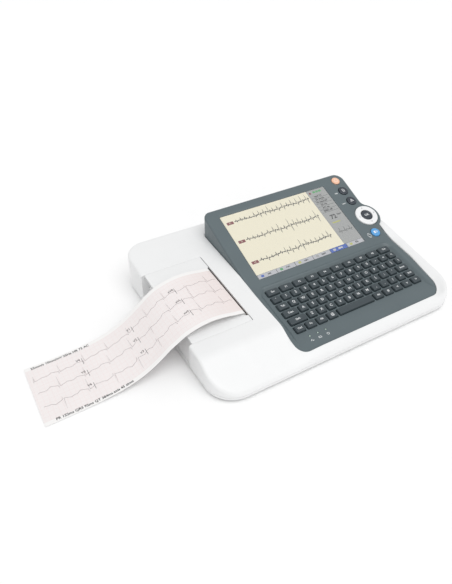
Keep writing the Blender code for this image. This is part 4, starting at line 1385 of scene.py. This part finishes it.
def on_paper(s, across, lift):
    """The point of the paper s along it from the roll, across from its middle line, lift above its middle."""
    i = min(max(bisect_right(AT, s), 1), len(AT) - 1)
    share = (s - AT[i - 1]) / (AT[i] - AT[i - 1])
    point = ROUTE[i - 1].lerp(ROUTE[i], share)
    ahead = (ROUTE[min(i + 1, len(ROUTE) - 1)] - ROUTE[i - 1]).normalized()
    behind = (ROUTE[i] - ROUTE[max(i - 2, 0)]).normalized()
    heading = behind.lerp(ahead, share).normalized()
    up = Vector((heading.y, -heading.x))
    past_slot = max(0.0, SLOT_AT - point.x) / (SLOT_AT - PAPER_END)
    middle_y = PAPER_Y + PAPER_DRIFT * past_slot
    lean = 0.0
    if point.x > FLAT_FROM:
        lean = PLATEAU[1] * (1 - past_slot) ** 2 * min(1.0, max(0.0, (point.y - 30) / 6))
    edge = point + up * lift
    return max(edge.x, PAPER_END), middle_y + across, edge.y + lean * across


def make_paper():
    bm = bmesh.new()
    uv = bm.loops.layers.uv.new("along_and_across")
    half = PAPER_THICK / 2
    columns = spaced(-PAPER_WIDTH / 2, PAPER_WIDTH / 2, 5.0)
    grid = []
    for lift in (half, -half):
        grid.append([[bm.verts.new(on_paper(s, across, lift)) for across in columns] for s in AT])

    def face(corners, places):
        made = bm.faces.new(corners)
        for loop, (s, across) in zip(made.loops, places):
            loop[uv].uv = ((s - SLOT_S) * MM, across * MM)

    for layer in grid:
        for i in range(len(AT) - 1):
            for j in range(len(columns) - 1):
                square = ((i, j), (i + 1, j), (i + 1, j + 1), (i, j + 1))
                face([layer[a][b] for a, b in square], [(AT[a], columns[b]) for a, b in square])
    top, bottom = grid
    last_i, last_j = len(AT) - 1, len(columns) - 1
    edges = [((i, j), (i + 1, j)) for j in (0, last_j) for i in range(last_i)]
    edges += [((i, j), (i, j + 1)) for i in (0, last_i) for j in range(last_j)]
    for (a, b), (c, d) in edges:
        corners = [top[a][b], top[c][d], bottom[c][d], bottom[a][b]]
        face(corners, [(AT[a], columns[b]), (AT[c], columns[d])] * 2)
    sheet = place("chart_paper_strip", solid(bm), CHART_PAPER, "drawer", ["paper_strip"], 60.0, False)
    printing = make_paper_print()


PAPER_FACE = PAPER_THICK / 2
PRINT_LOW, PRINT_HIGH = PAPER_FACE - 0.02, PAPER_FACE + 0.05
PRINT_END = PAPER_LENGTH - SLOT_S - 4.0
PRINT_ROWS = (19.0, 1.0, -18.0)
LEADS = (("aVR", "V1", "V4"), ("aVL", "V2", "V5"), ("aVF", "V3", "V6"))
EDGE_WORDS = (
    (36.7, 33.0, "25mm/s 10mm/mV 35Hz HR 72 AC"),
    (-36.9, 46.0, "PR 152ms QRS 92ms QT 384ms axis 45 sinus"),
)


def on_print(past_slot, across, lift):
    return on_paper(SLOT_S + past_slot, across, lift)


def printed_trace(baseline, tallest, chance):
    """Points of one trace from the slot to the far end, close enough together to bend with the paper."""
    points = []
    at = 3.0
    while at < PRINT_END:
        beat = 25.0 + chance.random() * 3.0
        size = tallest * (0.75 + 0.5 * chance.random())
        turned_over = -1.0 if chance.random() < 0.25 else 1.0
        shape = heartbeat(0.3, 0.025) + [(1.0, 0.0)]
        for (t, rise), (next_t, next_rise) in zip(shape, shape[1:]):
            steps = math.ceil((next_t - t) * beat / 1.5)
            for step in range(steps):
                spot = at + beat * (t + (next_t - t) * step / steps)
                risen = size * turned_over * (rise + (next_rise - rise) * step / steps)
                points.append((spot, baseline + 0.4 * math.sin(spot * 0.13) + risen))
        at += beat
    return [point for point in points if point[0] < PRINT_END]


def add_printed_words(bm, words, size, spot, across, weight=0.012):
    """Words that read from the far end back to the slot."""

    def bent(x, y, z):
        return on_print(spot - x, across + y, z)

    add_text(bm, words, size, (0.0, 0.0), PAPER_FACE, 0, bent, 0.05, weight)


def make_paper_print():
    """Three rows of traces, the names of the leads, and a line of words along each edge."""
    bm = bmesh.new()
    chance = random.Random(3)
    for baseline, tallest in zip(PRINT_ROWS, (9.0, 11.0, 12.0)):
        trace = printed_trace(baseline, tallest, chance)
        add_stroke(bm, trace, 0.3, PRINT_LOW, PRINT_HIGH, 1, on_print)
    for column, spot in enumerate((52.0, 112.0, 172.0)):
        for baseline, names in zip(PRINT_ROWS, LEADS):
            add_printed_words(bm, names[column], 4.0, spot + 4.0, baseline + 3.4)
            tick = [(spot, baseline - 4.5), (spot, baseline + 4.5)]
            add_stroke(bm, tick, 0.4, PRINT_LOW, PRINT_HIGH, 0, on_print)
    for side, from_end, words in EDGE_WORDS:
        add_printed_words(bm, words, 4.2, PRINT_END - from_end, side, 0.025)
    return place("paper_print", drawn(bm), [INK, INK_PALE], "drawer", weighted=False)


# ---------------------------------------------------------------- surroundings


FLOOR_HALF = 30.0
SKY_STRENGTH = 0.705
SUN_ENERGY = 1.22
SUN_ANGLE = 58.0
SUN_FROM = (0.02, -0.42, 0.91)
CAMERA_AT = (-343.36, -430.0, 399.73)
CAMERA_AZIMUTH, CAMERA_ELEVATION = -30.09, 39.31
CAMERA_LENS, CAMERA_SENSOR = 32.77, 36.0


def add_object(name, data):
    obj = bpy.data.objects.new(name, data)
    bpy.context.scene.collection.objects.link(obj)
    return obj


def make_floor():
    look = plastic("floor_paint", (0.965, 0.965, 0.965), 0.85, 0.004, 60.0, 0.002)
    bm = bmesh.new()
    corners = rectangle(-FLOOR_HALF, FLOOR_HALF, -FLOOR_HALF, FLOOR_HALF)
    bm.faces.new([bm.verts.new((x, y, 0.0)) for x, y in corners])
    mesh = bpy.data.meshes.new("floor")
    bm.to_mesh(mesh)
    bm.free()
    mesh.materials.append(look)
    add_object("floor", mesh)


def make_light():
    world = bpy.data.worlds.new("studio")
    world.use_nodes = True
    background = world.node_tree.nodes["Background"]
    background.inputs["Color"].default_value = (1.0, 1.0, 1.0, 1.0)
    background.inputs["Strength"].default_value = SKY_STRENGTH
    bpy.context.scene.world = world
    bpy.context.scene.view_settings.view_transform = "Standard"
    data = bpy.data.lights.new("main_light", "SUN")
    data.energy = SUN_ENERGY
    data.angle = math.radians(SUN_ANGLE)
    add_object("main_light", data).rotation_euler = Vector(SUN_FROM).to_track_quat("Z", "Y").to_euler()


def make_camera():
    data = bpy.data.cameras.new("camera")
    data.lens = CAMERA_LENS
    data.sensor_width = CAMERA_SENSOR
    data.clip_start = 0.01
    camera = add_object("camera", data)
    camera.location = (Vector(CAMERA_AT) + SHIFT) * MM
    azimuth, elevation = math.radians(CAMERA_AZIMUTH), math.radians(CAMERA_ELEVATION)
    camera.rotation_euler = (math.pi / 2 - elevation, 0.0, azimuth)
    bpy.context.scene.camera = camera


def main():
    dress_cad_nodes()
    make_top_shell()
    make_base_shell()
    make_drawer()
    make_console()
    make_keys()
    make_controls()
    make_rocker_disc()
    make_leds()
    make_printed_marks()
    make_lamp_marks()
    make_picture()
    make_window()
    make_floor()
    make_paper()
    make_light()
    make_camera()


main()
